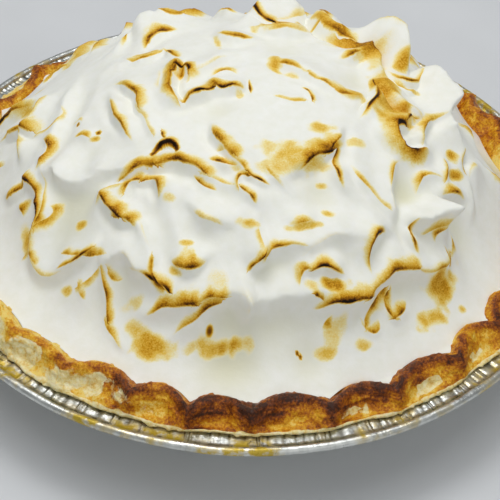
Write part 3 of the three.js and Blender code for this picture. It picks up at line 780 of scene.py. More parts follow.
# How toast goes along a crest: it swells from the ends and has a broad head and a thin tail
TOAST_REACH = 12
TOAST_LAYERS = 6
LAYER_REACH = 60
WALL_STRETCH = 1.7
WALL_SOFT = 0.2
SWELL_LENGTH = 0.4
JOINED_SWELL = 0.35
LEAD_JITTER = (-0.7, 0.7)
HEAD_RANGE = (0.2, 1.3)
BEAD_BASE = 0.85
BEAD_SIZE = 0.2
BEADS = 1.7
TAIL_SPREAD = 0.2
CLEAR_REACH = 1.5
CLEAR_SPREAD = 1.1

# Distance and signed distance as far as they go, no gold, no char and a slight spread
NO_TOAST = [1.0, 1.0, 0, 0, 0.1]

# How the skin is evened out
SNAP = 0.45
CREST_GAP = 0.28
LEAST_BEND = 1e-4
SPREAD_ROUNDS = 3
SPREAD_FIELD = 0.95
SPREAD_RATE = 0.5
SETTLE_ROUNDS = 16
NORMAL_ROUNDS = 4
EVEN_FIRST = 2
EVEN_LAST = 3
EVEN_RATE = 0.4
CREST_RATE = 0.08
HOLLOW_RATE = 0.5
HOLLOW_PULL = (-0.01, 0.02)
RELAX_ROUNDS = 8
SHRINK_RATE = 0.5
SWELL_RATE = -0.52

# How the mound meets the pastry: share of the way up the rope away from and on the risen side,
# then powers of the radius share: the higher one is, the nearer to the mound's edge it acts
SEAL_SHARE = (0.85, 0.3)
SEAL_DROP = 1.3
SEAL_ROOM = 0.2
SEAL_POWER = 14
CALM_POWER = 9
FREE_POWER = 20
FOOT_RADIUS = PASTRY_FOOT - 0.5
FOOT_HEIGHT = FILLING + 0.3

# How far to the front the skirt's dip starts and is full, and the skin's noise
SKIRT_RANGE = (-0.1, 0.6)
SKIN_NOISE = [(0.5, 15, 41), (0.14, 6, 42)]
PEAK_POWER = 1.6

# How deep a hollow is when its painted shade starts and is full, and how far back the painted shade fades
# out
HOLLOW_SHADE_RANGE = (0.5, 5.5)
HOLLOW_SHADE_FIELD = (10, 40)

# Each fold is the crest that the back of a spoon leaves. It runs from (x0, y0) to (x1, y1) in
# the plan, in millimetres, with its steep side and hollow on the right-hand side of the way.
# Then come its bow to the left, its height, the widths of its gentle side and of its hollow,
# how golden its crest is, how dark the thin line along it is, how far the gold spreads down
# the gentle side, and whether the toast is strongest at the start (-1) or at the end (1).
SPOON_FOLDS = [
    # silhouettes: swirl behind the left shoulder, top peak and right edge
    (-16, 44, -52, 27, -3, 10, 14, 6, 0, 0, 2, 0),
    (18, 44, -5, 38, -3, 9, 12, 9, 0.1, 0, 3, 0),
    (83, -5, 78, -21, -1, 5, 8, 4, 0.2, 0.2, 1, 0),
    # left outer lobes
    (-72, 13, -79, -4, 2, 5, 9, 5, 0.8, 0.4, 1.5, 0),
    (-79, -3, -79, -18, 0, 5, 7, 4, 0.5, 0.3, 1.5, 1),
    (-70, -25, -62, 16, -1, 4, 8, 10, 0, 0, 1, 0),
    (-68, 0, -73, -9, 5.5, 2, 5, 4, 0.4, 0.3, 1, 1),
    (-72, -13, -70, -24, 2.5, 2.5, 5, 4, 0.9, 0.3, 2.5, 0),
    (-75, -27, -69, -48, 2.5, 5, 6, 5, 0.8, 0.9, 1.5, 0),
    (-84, -26, -76, -28, -1, 4, 7, 5, 0.9, 0.3, 2, 0),
    (-79, -32, -76, -39, 1, 2, 4, 3, 0.8, 0.1, 2.5, 1),
    (-70, -25, -68, -48, 2, 4, 7, 3, 0.1, 0.6, 1, 1),
    (-66, -42, -67, -47, 2, 1.5, 4, 2, 0.7, 0, 2, 0),
    # brow of the big bowl
    (-70, -33, -62, -34, 3.5, 6, 12, 14, 0, 0, 1, 0),
    (-62, -33, -50, -38, -3.5, 5, 12, 14, 0, 0, 1, 0),
    (-51, -37, -40, -41, 0, 4, 9, 8, 0, 0, 1, 0),
    (-60, -20, -53, -24, 1, 2, 5, 3, 0.8, 0.1, 1.8, 0),
    (-63, -12, -57, -15, 2, 1.5, 4, 3, 0.3, 0, 1, 0),
    (-49, -2, -37, -33, -1, 4, 8, 6, 0.7, 0.7, 1.5, 1),
    (-49, 2, -36, -17, 3, 4, 8, 6, 0.8, 0.3, 2, 0),
    (-37, -16, -31, -30, 0, 2, 6, 4, 0.3, 0, 1, 0),
    # top left
    (-39, 20.5, -25.5, 32, 4.4, 4, 7, 7, 0.95, 0.7, 2.2, 0),
    (-35, 41, -25, 46, -5, 3.5, 7, 6, 0.8, 0.3, 2, 0),
    (-48, 25, -42, 44, -0.5, 4.5, 7, 7, 0.5, 0.4, 1.5, -1),
    (-45, 18, -32, 16, -4, 3, 7, 6, 0.7, 0.2, 2, 0),
    (-50, 13, -40, 15, 0, 2.7, 8, 5, 0, 0, 1, 0),
    # hooded knob and the long ridge from its foot
    (-25, -17.5, -26.5, 2.5, 2.5, 6, 7, 6, 0.9, 0.4, 2.6, 1),
    (-30, -13, -31, 5, 1.5, 2.2, 5, 3, 0.2, 0, 1, 0),
    (-27, 2, -20.5, -4, 3, 5, 6, 5, 1, 0.9, 2.6, 0),
    (-31, 17, -25, 6.5, 0.5, 2.6, 5, 4, 1, 0.7, 2, 0),
    (-23, -17, -12, -11, 0, 5, 9, 8, 1, 1, 3, 0),
    (-12, -10, 0, -11, -1, 4.5, 8, 7, 0.9, 0.9, 2, 0),
    (0, -6, 1, -15, 0, 1.9, 3, 2, 0.3, 1, 1, 0),
    (-14, -5, -4, -5, 4, 1.9, 5, 3, 0.7, 0.1, 2.5, 0),
    (-21, -7, -4, 9, 2, 3, 9, 9, 0.2, 0, 1, 0),
    # top
    (-13, 29, 2, 23, -5.5, 4, 9, 9, 0.9, 0.6, 2, 1),
    (-3, 44, 8, 34.5, 0.3, 3.5, 6, 4, 0.8, 1, 1.8, 1),
    (1, 29, 23, 31, -2, 5, 10, 10, 0.5, 0.1, 3, 0),
    (9, 37, 19, 43, -1, 2.6, 6, 4, 0.3, 0, 1.2, 0),
    (20, 47, 36, 27, -2.5, 9, 7, 8, 0.85, 0.3, 2.2, 1),
    (19, 34, 34, 29, 4, 2.5, 5, 4, 0.7, 0.2, 1.5, 1),
    # upper right slope
    (8, 5.5, 21, -1.5, 0.3, 3.5, 10, 8, 0.9, 0.5, 2.2, -1),
    (21, -1.5, 30, -7, -0.3, 3, 9, 8, 0.6, 0.4, 1.1, 0),
    (30, -7, 40, -5, -3, 2.4, 6, 5, 0.8, 0.1, 2.5, 0),
    (16, -9, 22, -15, 1.5, 1.6, 5, 4, 0.4, 0.8, 1, 1),
    (7, -14, 19, -16, -1.5, 1.2, 5, 3, 0.5, 0, 1, 1),
    # middle: a long crest over petals, a small black arch and the wide golden slope
    (-12, -27, -3, -41, -1.5, 4, 10, 7, 0.8, 0.2, 2.5, 0),
    (-4, -40, 2, -47, 0, 3, 8, 6, 0.5, 0.3, 1, 0),
    (-13, -42, 0, -44, -0.5, 3.5, 6, 9, 0.9, 0.4, 2.5, 0),
    (-10, -39, -5, -39, 0.5, 1.1, 3, 2, 0.4, 0, 1.5, 0),
    (-41, -44, -30, -42, 1.5, 4.5, 10, 8, 0.9, 0.4, 2.5, 0),
    (-29, -42, -12, -47, 2, 4.5, 10, 8, 0.9, 0.4, 2.5, 0),
    (-30.5, -38.5, -22, -39.5, 4.6, 4, 4, 5, 1, 2, 1.6, 0),
    (-28, -30, -26, -33, -0.5, 1.5, 4, 3, 0.5, 0.9, 1.2, 0),
    (-40, -49, -35, -45, 1.5, 4.5, 6, 6, 0.8, 0.4, 2, 0),
    (-33, -46, -28, -55, 3.5, 4.5, 6, 6, 0.8, 0.3, 2, 0),
    (-40, -46, -48, -49, -0.5, 4, 8, 4, 0.3, 0.2, 1.5, 1),
    (-47, -47, -39, -57, -0.5, 4.5, 8, 7, 1, 0.7, 2.2, 0),
    (-41, -56, -34, -62, 1, 3, 7, 6, 0.8, 0.2, 2.2, 0),
    (-17, -46, -8, -53, -1, 2.2, 5, 5, 0.8, 0.6, 2, 0),
    (-13, -47, 0, -52, -0.5, 2.2, 8, 5, 0.3, 0.1, 1, 0),
    (-1, -52, 5, -58, 0.5, 2.6, 7, 6, 0.8, 0.5, 1.3, 0),
    (-2, -52, 2, -48, 2.5, 3, 5, 5, 0.6, 0.6, 1.2, 0),
    (2, -47, 10, -51, -1, 2.6, 5, 5, 0.4, 1, 1, 0),
    (5, -41, 15, -53, -1, 2.2, 9, 5, 0.4, 0.1, 1.2, 0),
    (16, -47, 28, -36, 1, 5, 14, 10, 1, 0.8, 4.5, 0),
    (27, -36, 32, -28, 0, 4, 9, 7, 0.8, 0.7, 3, -1),
    (30, -35, 36, -50, -2.5, 3.5, 8, 8, 0.8, 0.6, 1.3, -1),
    (34, -38, 48, -49, -1, 2.2, 8, 6, 0.5, 0.1, 1.3, -1),
    # hooded lobe at the right of the top
    (47, 10, 35, 27, -2, 7.5, 10, 5, 0.9, 0.5, 7, 0),
    (30, 12, 44, 24, -0.5, 5, 7, 9, 0.8, 0.4, 2, -1),
    (55.5, 16, 35, 34, -4, 14.5, 7, 10, 0.4, 0.1, 1.5, 0),
    (49, 17, 57, 20, -8, 5, 5, 4, 0.5, 0.7, 1.2, 0),
    (50, 12, 62, 7, -1.5, 3.5, 6, 4, 0.6, 0.1, 1.3, 0),
    (68, 5, 54, 22, -3.5, 11.5, 8, 8, 0, 0, 1, 0),
    (46, 5, 37, -21, 2.5, 5.5, 8, 5, 0.9, 1, 2, 0),
    (48, 5, 63, -3, -6, 5.5, 6, 5, 0, 0, 1, 0),
    (60, -22, 53, -15, 8.5, 5.5, 9, 6, 0.9, 0.9, 4, 0),
    (53, -13, 60, -5, 0.5, 5, 6, 5, 0.6, 0.8, 2, 0),
    (60, -19, 68, -1, 3.5, 4.5, 5, 6, 0.8, 0.4, 2.2, 0),
    (78, -8, 68, 6, 4.5, 8, 9, 7, 0, 0, 1, 0),
    (77, -17, 81, -2, 3, 2.8, 5, 4, 0.3, 0.5, 1, 0),
    (68, -28, 69, -17, -0.5, 2.8, 5, 4, 0.4, 0.6, 1, 0),
    (60, -39, 66, -28, 3, 2.8, 4, 4, 0.7, 0.3, 1.3, 0),
    (50, -48, 54, -28, 3.5, 4, 8, 9, 0.5, 0.3, 1, 1),
    (42, -19, 62, -20, -7.5, 4, 7, 9, 0.1, 0, 1, 0),
    (67, -35, 78, -27, 2, 4.5, 5, 5, 0.8, 0.3, 2.2, 0),
    (80, -32, 77, -17, -1, 2.8, 6, 4, 0, 0, 1, 0),
    # horn and the curls under it
    (43, -69, 49, -56, 5, 6, 9, 9, 0.8, 1, 1.8, 0),
    (57, -47, 60, -56, -2, 5, 6, 8, 0.6, 1, 1.3, 0),
    (54, -51, 66, -41, 0, 8.5, 6, 6, 0, 0, 1, 0),
    (60, -51, 69, -41, 0.5, 1.5, 4, 3, 0.6, 0, 1.5, 0),
    (65, -50, 69, -42, 1, 2, 4, 3, 0.7, 0.4, 1.3, 0),
    (73, -40, 72, -47, 0.5, 3, 5, 4, 0.6, 0.1, 1.5, 0),
    (69, -49, 72, -48, -2, 2, 3, 3, 0.6, 0.5, 1, 0),
    # front right ridge and petals
    (23, -80.5, 42, -72.5, 0, 5.5, 10, 10, 1, 0.9, 1.8, 0),
    (41, -73, 58, -59, 1, 5.5, 10, 9, 0.9, 0.4, 1.7, 0),
    (58, -59, 70, -50, -1.5, 5, 7, 7, 0.4, 0.5, 1, 0),
    (24, -77, 28, -78, 0.5, 1.9, 3, 3, 0.4, 1, 1, 0),
    (19, -77, 23, -72, 2, 4.5, 7, 5, 0.8, 0.3, 1.5, 0),
    (23, -72, 35, -71, 1, 5, 8, 6, 0.8, 1, 1.8, 0),
    (48, -69, 43, -78, -1, 2.8, 5, 4, 0.9, 0.3, 1.8, 0),
    (42, -78, 47, -75, -2.5, 2.4, 3, 4, 0.8, 0.3, 1.2, 0),
    (50, -69, 53, -73, -2, 2.8, 5, 4, 0.8, 0.4, 1.4, 0),
    (52, -73, 57, -67, -0.5, 2.4, 3, 4, 0.8, 0.5, 1.4, 0),
    (32, -79, 28, -85, -0.5, 1.9, 5, 5, 0.7, 0.1, 2, -1),
    # middle and left of the front, and the rim of the big bowl
    (2, -75, 6, -70, 0, 4.5, 9, 9, 0.7, 0.8, 1, 0),
    (6, -71, 5, -62, 0.5, 2.7, 8, 7, 0.4, 0.1, 1, -1),
    (6, -71, 20, -67, 1, 4.5, 9, 12, 0.6, 0.5, 1.3, -1),
    (14, -63, 25, -60, 0.5, 2.7, 7, 7, 0.6, 0.1, 1.5, 0),
    (20, -69, 42, -61, 2.5, 3.5, 10, 9, 0.1, 0, 1, 0),
    (3, -81, 24, -77, -0.5, 5.5, 11, 13, 0, 0, 1, 0),
    (-6, -80, 4, -81, 1, 4.5, 9, 10, 0.1, 0, 1.5, 0),
    (2, -82, 0, -77, -0.5, 4.5, 7, 8, 0.1, 0, 1, 0),
    (-32, -81.5, -14, -81, 0.5, 4, 8, 8, 0.95, 0.4, 1.8, 0),
    (-14, -81, -5, -80, 0.5, 4.5, 8, 8, 0.8, 0.3, 1.5, 0),
    (-22, -87.5, -6, -81, 0.5, 3, 6, 9, 0.85, 0.4, 1.6, 0),
    (-10, -90, 3, -91, 1.5, 1.8, 6, 5, 0, 0, 1, 0),
    (-23, -71, -10, -72, -2.5, 4.5, 8, 5, 1, 0.5, 4, 0),
    (-24, -77, -29, -70, 1, 3.5, 5, 7, 0.6, 0.9, 1, 0),
    (-34, -71, -22, -78, 0, 4.5, 8, 8, 0.7, 0.9, 1, 1),
    (-43, -67, -33, -71, 2, 4.5, 8, 8, 0.1, 0.1, 1, 1),
    (-43, -69, -38, -72, -1.5, 1.4, 3, 2, 0.5, 0.3, 1, 0),
    (-45, -68, -42, -80, 0, 2.7, 8, 5, 0.7, 0.6, 1.1, 0),
    (-43, -80, -35, -90, -0.5, 1.8, 7, 4, 0.6, 0.1, 1.1, -1),
    (-47, -68, -53, -69, 0.5, 1.4, 5, 3, 0.5, 0.1, 1, 0),
    (-53, -69, -50, -73, -0.5, 1.4, 4, 3, 0.5, 0.1, 1, 0),
    (-69, -48, -60, -62, -4.5, 4.5, 8, 7, 0.3, 0.2, 1, 0),
    (-60, -61, -49, -62, -0.5, 3.5, 5, 6, 0.4, 1, 1, 0),
    (-60, -58, -52, -62, 0, 1.8, 4, 3, 0.3, 0.6, 1, 0),
    (-50, -63, -44, -65, 0, 1.8, 4, 4, 0.8, 0.2, 1.3, 0),
    (-71, -52, -67, -58, 0.5, 1.8, 3, 2, 0.7, 0.2, 1, 0),
    (-29, -70, -34, -58, 0, 3.5, 8, 11, 0.1, 0.2, 1, 1),
    (-17, -58, -4, -64, -1, 3.5, 10, 11, 0.4, 0, 1.2, 0),
    (-73, -47, -74, -51, 1.5, 1.8, 4, 3, 0.8, 0.3, 1.3, 0),
]

# Broad dents between the folds: x, y, radius, depth
SPOON_DENTS = [
    (-58, -42, 16, 4.5), (-64, -60, 8, 3), (-41, -75, 9, 3.5), (-2, -91, 13, 5),
    (10, -79, 14, 4.5), (24, -90, 9, 3), (54, -40, 10, 4.5), (28, -67, 8, 2.5),
    (38, -70, 8, 3), (54, -65, 8, 3.5), (-6, -51, 9, 2.5), (-11, -20, 8, 2.5),
    (25, -51, 8, 3), (75, -38, 7, 3), (38, 3, 8, 3), (12, 18, 9, 2.5),
    (89, 26, 17, 8), (-20, 62, 22, 4),
]

# Peaks drawn out with the spoon's tip: x, y, radius, then how far they go across and up
PULLED_PEAKS = [(66, -41, 6, 3, 2, 5), (-26, 5, 6, 1, 0, 2), (5, -70, 5, 1, -2, 2), (2, -81, 6, 2, -2, 2)]

# The backs of the tall lobes: x, y, and how far from there the streaks are full and end
TALL_BACKS = [(60, 15, 14, 28), (6, 46, 9, 22)]
STREAK_NOISE = [(1.6, 6, 43)]
STREAK_STRETCH = [1, 1, 0.4]

# Toasted patches with no crest of their own: x, y, half length, half width, heading, strength
TOAST_PATCHES = [
    (-33, -84, 4, 2, -20, 0.5), (-27, -89, 6, 3.5, -15, 0.75), (-6, -90, 8, 2.6, 0, 0.75),
    (-1, -90, 3, 2.4, 0, 0.95), (69, -57, 8, 3.5, 50, 0.8), (66, -68, 6, 2.6, 40, 0.65),
    (43, -83, 4, 1.8, 20, 0.5), (30, -88, 4, 1.8, 10, 0.5), (32, -83, 5, 2.4, 55, 0.35),
    (77, -60, 2, 1.6, 85, 0.6), (20, -62, 6, 1.1, 15, 0.55), (28, -57, 3, 1.5, 15, 0.6),
    (-55, -53, 2.2, 1.4, -30, 0.7), (-67, -46, 4, 1.2, -70, 0.7), (-74, -46, 5, 2, -60, 0.75),
    (-18, -68, 2.5, 0.8, -10, 0.5), (-12, 19, 5, 1.2, -80, 0.4), (-3, -14, 3, 1.4, -80, 0.3),
    (2, -63, 3, 1.6, -10, 0.6), (-24, -54, 2.4, 1.4, -20, 0.3), (25, -28, 4, 3, 10, 0.6),
    (15, -40, 11, 5, -5, 0.5), (9, 3, 5, 2.4, -80, 0.7), (15, -2, 3, 1.8, -5, 0.35),
    (48, 0, 10, 4.5, -75, 0.75), (50, -9, 8, 5.5, 60, 0.75), (37, -30, 3, 1.8, 15, 0.35),
    (26, -48, 2, 1.2, 10, 0.5), (73, -22, 4.5, 2, 45, 0.85), (72, -15, 2.6, 2, 70, 0.85),
    (36, -8, 7, 2.4, 5, 0.6), (-35, -78, 3.5, 1.6, -5, 0.4), (-58, -68, 2.2, 1.2, -30, 0.6),
    (-21, -74, 3, 1.2, -15, 0.5), (-7, -77, 3.5, 2, -10, 0.2), (43, 20, 8, 5, -50, 0.8),
    (12, 32.5, 9, 3, 20, 0.85), (-2, -45, 4, 1.8, -15, 0.25), (30, -73.8, 5.5, 1.3, 12, 0.95),
    (-52, -24, 2, 1.2, 0, 0.8), (12, -44, 8, 3, 10, 0.4), (-24, 0, 4, 2.6, 60, 1), (-37, 16, 4, 1.3, 5, 0.6),
    (52, 18, 4, 2, -60, 0.8), (-1.9, 42, 3, 1.6, -30, 0.6),
]

# The raggedness of the patches runs across the slope of the front, a little askew
PATCH_TWIST = np.array([[0.8, 0.5, 0], [-0.6, 0.9, 0], [0, 0, 1]])
PATCH_NOISE = [(0.4, 5, 31), (0.3, 2.1, 32)]
PATCH_REACH = 0.85
PATCH_RANGE = (0.15, 1.25)
PATCH_STRENGTH = 0.8

# Burnt specks: x, y, radius. A row of them makes the thin black arch of a small curl.
ARCH_X, ARCH_Y, ARCH_RADIUS = -26.3, -38.7, 4.3
ARCH_SPECKS = 36
ARCH_SPECK_RADIUS = 0.65
ARCH_ENDS = (5, 175)
BURNT_SPECKS = [(-9, -87, 1.1), (20.5, -89.6, 0.6), (21.6, -90.2, 0.6), (-51, -22, 0.8), (-59, -14, 0.7)]
BURNT_SPECKS += [
    (ARCH_X + ARCH_RADIUS * math.cos(turn), ARCH_Y + ARCH_RADIUS * math.sin(turn), ARCH_SPECK_RADIUS)
    for turn in np.radians(np.linspace(*ARCH_ENDS, ARCH_SPECKS))]

# The back and the far sides carry the same kind of folds, spread by the golden angle. They keep
# clear of the front field, where the folds are set out one by one.
BACK_FOLDS = 96
BACK_FIELD_SHARE = 0.93
FRONT_FIELD_DEPTH = 62
FRONT_FIELD_SLOPE = 0.4
FRONT_FIELD_HALF_WIDTH = 84
GOLDEN_ANGLE = math.radians(137.508)

# Each number of a back fold runs from the first to the second; the third is its salt. The turn
# is in half turns; the rows after the half length are the last eight numbers of a fold.
BACK_TURN = (0.2, 1.5, 1)
BACK_HALF_LENGTH = (6, 12, 2)
BACK_SHAPE = [(-1, 6, 3), (3.5, 7, 4), (6, 11, 5), (5, 10, 9), (0.5, 1.0, 6), (0, 1.0, 7), (1.5, 5, 8),
              (-1, 1, 10)]

# The back's patches in the same way: share of the way out, half length and width, turn, strength
BACK_PATCHES = 14
BACK_PATCH_ENDS = (10, 175)
BACK_PATCH_SALT = 41
BACK_PATCH_SHAPE = [(0.72, 0.9, 42), (3, 8, 43), (1.8, 3.4, 44), (60, 120, 45), (0.35, 0.8, 46)]


def pick(index, low, high, salt):
    """Repeatable number between low and high for a numbered thing."""
    return mix(low, high, scatter(index, salt))


def back_folds():
    """Folds of the same kind on the back and the far sides."""
    folds = []
    for index in range(BACK_FOLDS):
        reach = MOUND_RADIUS * BACK_FIELD_SHARE * math.sqrt((index + 0.5) / BACK_FOLDS)
        around = index * GOLDEN_ANGLE
        x, y = reach * math.cos(around), reach * math.sin(around)
        if y < FRONT_FIELD_DEPTH - FRONT_FIELD_SLOPE * abs(x) and abs(x) < FRONT_FIELD_HALF_WIDTH:
            continue
        heading = around + pick(index, *BACK_TURN) * math.pi
        half = pick(index, *BACK_HALF_LENGTH)
        along, across = half * math.cos(heading), half * math.sin(heading)
        folds.append((x - along, y - across, x + along, y + across,
                      *[pick(index, *row) for row in BACK_SHAPE]))
    return folds


def back_patches():
    """Toasted patches on the low slopes of the back, like those of the front."""
    patches = []
    for index in range(BACK_PATCHES):
        share = (index + scatter(index, BACK_PATCH_SALT)) / BACK_PATCHES
        around = math.radians(mix(*BACK_PATCH_ENDS, share))
        out, half_long, half_wide, turn, strength = (pick(index, *row) for row in BACK_PATCH_SHAPE)
        reach = MOUND_RADIUS * out
        patches.append((reach * math.cos(around), reach * math.sin(around), half_long, half_wide,
                        math.degrees(around) + turn, strength))
    return patches


def joined_ends(folds):
    """For each fold, whether its start and its end lie where another fold starts or ends."""
    ends = np.array([fold[:4] for fold in folds], float).reshape(-1, 2, 2)
    joined = []
    for index, pair in enumerate(ends):
        others = np.delete(ends, index, axis=0).reshape(-1, 2)
        joined.append([np.hypot(*(others - end).T).min() < JOINT_REACH for end in pair])
    return joined


def end_taper(share, joined):
    """1 along a crest; towards an end it sinks, almost away where no other fold goes on."""
    return mix(JOINED_END if joined else FREE_END, 1, smoothstep(0, END_LENGTH, share))


def fold_course(fold, index, joined):
    """Points along a fold's arc and the crest's height at each. It wavers a little."""
    x0, y0, x1, y1, bow, high = fold[:6]
    share = np.linspace(0, 1, COURSE_STEPS + 1)
    chord = np.array([x1 - x0, y1 - y0])
    length = np.hypot(*chord)
    left = np.array([-chord[1], chord[0]]) / length
    waver = (min(WAVER_SHARE * length, WAVER_MOST)
             * np.sin(TURN * (share * length / WAVER_LENGTH + scatter(index, 21))))
    # an arc of a circle through both ends that stands off the chord by the bow
    turn = 2 * math.atan2(2 * bow if bow else SLIGHT_BOW, length)
    swept = turn * (2 * share - 1)
    forward = 0.5 + 0.5 * np.sin(swept) / math.sin(turn)
    swing = length / 2 * (np.cos(swept) - math.cos(turn)) / math.sin(turn) + waver * np.sin(np.pi * share)
    points = np.array([x0, y0]) + forward[:, None] * chord + swing[:, None] * left
    lift = high * end_taper(share, joined[0]) * end_taper(1 - share, joined[1])
    return points, lift


def to_course(place, points):
    """Way from each run of a course to plan points: share along the run, offset and distance."""
    start, run = points[:-1], np.diff(points, axis=0)
    offset = place[:, None, :] - start[None]
    share = np.clip((offset * run).sum(-1) / (run ** 2).sum(-1), 0, 1)
    off = offset - share[..., None] * run
    return share, off, np.hypot(off[..., 0], off[..., 1])


def reach_of(fold):
    """Middle of a fold in the plan and how far from it the fold still changes anything."""
    middle = np.array([fold[0] + fold[2], fold[1] + fold[3]]) / 2
    return middle, math.dist(fold[:2], fold[2:4]) / 2 + abs(fold[4]) + max(fold[6], fold[7]) + FOLD_ROOM


def snap_to_crests(place, folds, joined, faces):
    """Plan points that lie almost on a crest are moved onto it, so that crests stay crisp.

    Also gives the fold on which each point lies, or -1.
    """
    best = np.full(len(place), SNAP)
    target = place.copy()
    owner = np.full(len(place), -1)
    for index, fold in enumerate(folds):
        middle, reach = reach_of(fold)
        near = np.flatnonzero(np.hypot(*(place - middle).T) < reach)
        _, off, distance = to_course(place[near], fold_course(fold, index, joined[index])[0])
        rows = np.arange(len(near))
        run = distance.argmin(1)
        closer = distance[rows, run] < best[near]
        best[near[closer]] = distance[rows, run][closer]
        target[near[closer]] = (place[near] - off[rows, run])[closer]
        owner[near[closer]] = index
    # of two neighbours that would come to lie almost together, only one moves
    start, end = plan_edges(place, faces)
    tight = (owner[start] >= 0) & (owner[start] == owner[end]) \
        & (np.hypot(*(target[start] - target[end]).T) < CREST_GAP)
    later = np.where(best[start] > best[end], start, end)[tight]
    target[later] = place[later]
    owner[later] = -1
    return target, owner


def plan_edges(place, faces):
    """Both ends of every edge between plan points, in both directions."""
    corners = np.array(faces)
    return edge_ends(corners[corners.max(1) < len(place)])


def spread_out(place, owner, faces):
    """Evens out the plan points between the crests, which stay where they are."""
    start, end = plan_edges(place, faces)
    moves = (owner < 0) & (far_from(place, 0, 0) < SPREAD_FIELD * MOUND_RADIUS)
    for _ in range(SPREAD_ROUNDS):
        spread = mix(place, neighbour_mean(place, start, end), SPREAD_RATE)
        place = np.where(moves[:, None], spread, place)
    return place


def follow_crests(faces, place, owner):
    """Turns edges that cross a crest, so that edges run along it and it isn't notched."""
    corners = np.array(faces)
    inside = corners.max(1) < len(place)
    kept = [tuple(face) for face in corners[~inside]]
    corners = corners[inside]
    across = {}
    for number, face in enumerate(corners.tolist()):
        for k in range(3):
            across[face[k], face[(k + 1) % 3]] = (number, face[(k + 2) % 3])
    corners = corners.tolist()
    touched = set()
    for (a, b), (first, c) in list(across.items()):
        if a > b or (b, a) not in across:
            continue
        second, d = across[b, a]
        same = owner[c] >= 0 and owner[c] == owner[d]
        if not same or (owner[a] == owner[c] and owner[b] == owner[c]) or touched & {first, second}:
            continue
        quad = place[[c, a, d, b]]
        turns = np.roll(quad, -1, axis=0) - quad
        bends = turns[:, 0] * np.roll(turns[:, 1], -1) - turns[:, 1] * np.roll(turns[:, 0], -1)
        if (bends > LEAST_BEND).all() or (bends < -LEAST_BEND).all():
            corners[first], corners[second] = [c, a, d], [c, d, b]
            touched |= {first, second}
    return [tuple(face) for face in corners] + kept


def fold_relief(place, fold, points, lift_at):
    """Rise, trough and lean of one fold, then each point's share along the runs, distance and side."""
    high, wide, hollow = fold[5:8]
    share, off, distance = to_course(place, points)
    run = np.diff(points, axis=0)
    steep = np.stack([run[:, 1], -run[:, 0]], 1) / np.hypot(run[:, 0], run[:, 1])[:, None]
    # which side of the crest a point lies on, evened out over the runs near it
    pull = 1 / (distance + SIDE_NEAR) ** SIDE_POWER
    facing = (off * steep).sum(-1) / np.maximum(distance, TINY)
    side = (pull * facing).sum(1) / pull.sum(1)
    steep_share = smoothstep(-SIDE_SOFT, SIDE_SOFT, side)[:, None]
    lift = mix(lift_at[:-1], lift_at[1:], share)
    part = np.clip(distance / wide, 0, 1)
    rounded = smoothstep(*ROUND_RANGE, high / wide)
    gentle_fall = mix((1 - part) ** TENT_POWER, (1 - part ** 2) ** 2, rounded)
    steep_reach = STEEP_SIDE + STEEP_PER_HOLLOW * hollow + STEEP_PER_HEIGHT * max(0, high - TALL_FOLD)
    steep_fall = np.exp(-(distance / steep_reach) ** STEEP_POWER)
    rise = lift * mix(gentle_fall, steep_fall, steep_share)
    across = np.clip(distance / hollow, 0, 1)
    trough = HOLLOW_SHARE * lift * HOLLOW_SCALE * across * (1 - across) ** 2 * steep_share
    push = LEAN_SHARE * lift * np.exp(-(distance / LEAN_REACH) ** 2)
    lean = (push ** 3 @ steep) / np.maximum((push ** 2).sum(1), TINIEST)[:, None]
    return rise.max(1), trough.max(1), lean, share, distance, side


def fold_effect(place, fold, index, joined):
    """What one fold does at plan points: rise, trough, lean, toast and how much it leads."""
    gold, char, spread, lead = fold[8:12]
    rise, trough, lean, share, distance, side = fold_relief(place, fold, *fold_course(fold, index, joined))
    nearest = distance.argmin(1)
    rows = np.arange(len(place))
    near = distance[rows, nearest]
    along = (nearest + share[rows, nearest]) / COURSE_STEPS
    swell = (smoothstep(0, SWELL_LENGTH, along + JOINED_SWELL * joined[0])
             * smoothstep(0, SWELL_LENGTH, 1 - along + JOINED_SWELL * joined[1]))
    head = np.clip(1 + (lead + pick(index, *LEAD_JITTER, 33)) * (2 * along - 1), *HEAD_RANGE)
    beads = BEAD_BASE + BEAD_SIZE * np.sin(TURN * (BEADS * along + scatter(index, 31)))
    weight = np.minimum(head, 1) * swell * beads
    stretched = near * mix(1, WALL_STRETCH, smoothstep(-WALL_SOFT, WALL_SOFT, side))
    spread_along = spread * head * mix(TAIL_SPREAD, 1, swell)
    toast = np.stack([stretched / TOAST_REACH, 0.5 + np.sign(side) * stretched / TOAST_REACH / 2,
                      gold * weight, char * weight, spread_along / TOAST_REACH], 1)
    return rise, trough, lean, toast, near


def toast_layers(folds):
    """A layer for each fold's toast: the one where it has most room from earlier folds' toast."""
    courses = [fold_course(fold, index, (False, False))[0] for index, fold in enumerate(folds)]
    reaches = [toast_reach(fold) for fold in folds]
    middles = [course.mean(0) for course in courses]
    layers = []
    for index, fold in enumerate(folds):
        room = np.full(TOAST_LAYERS, np.inf)
        for other in range(index):
            if not toasted(fold) or not toasted(folds[other]) \
                    or math.dist(middles[index], middles[other]) > LAYER_REACH:
                continue
            gap = np.hypot(*(courses[index][:, None] - courses[other][None]).T).min()
            clear = gap - 2 * max(reaches[index], reaches[other])
            room[layers[other]] = min(room[layers[other]], clear)
        layers.append(int(room.argmax()))
    return layers


def toasted(fold):
    return max(fold[8:10]) > 0


def toast_reach(fold):
    """How far from its crest a fold's toast can still be seen."""
    return CLEAR_REACH + CLEAR_SPREAD * fold[10]


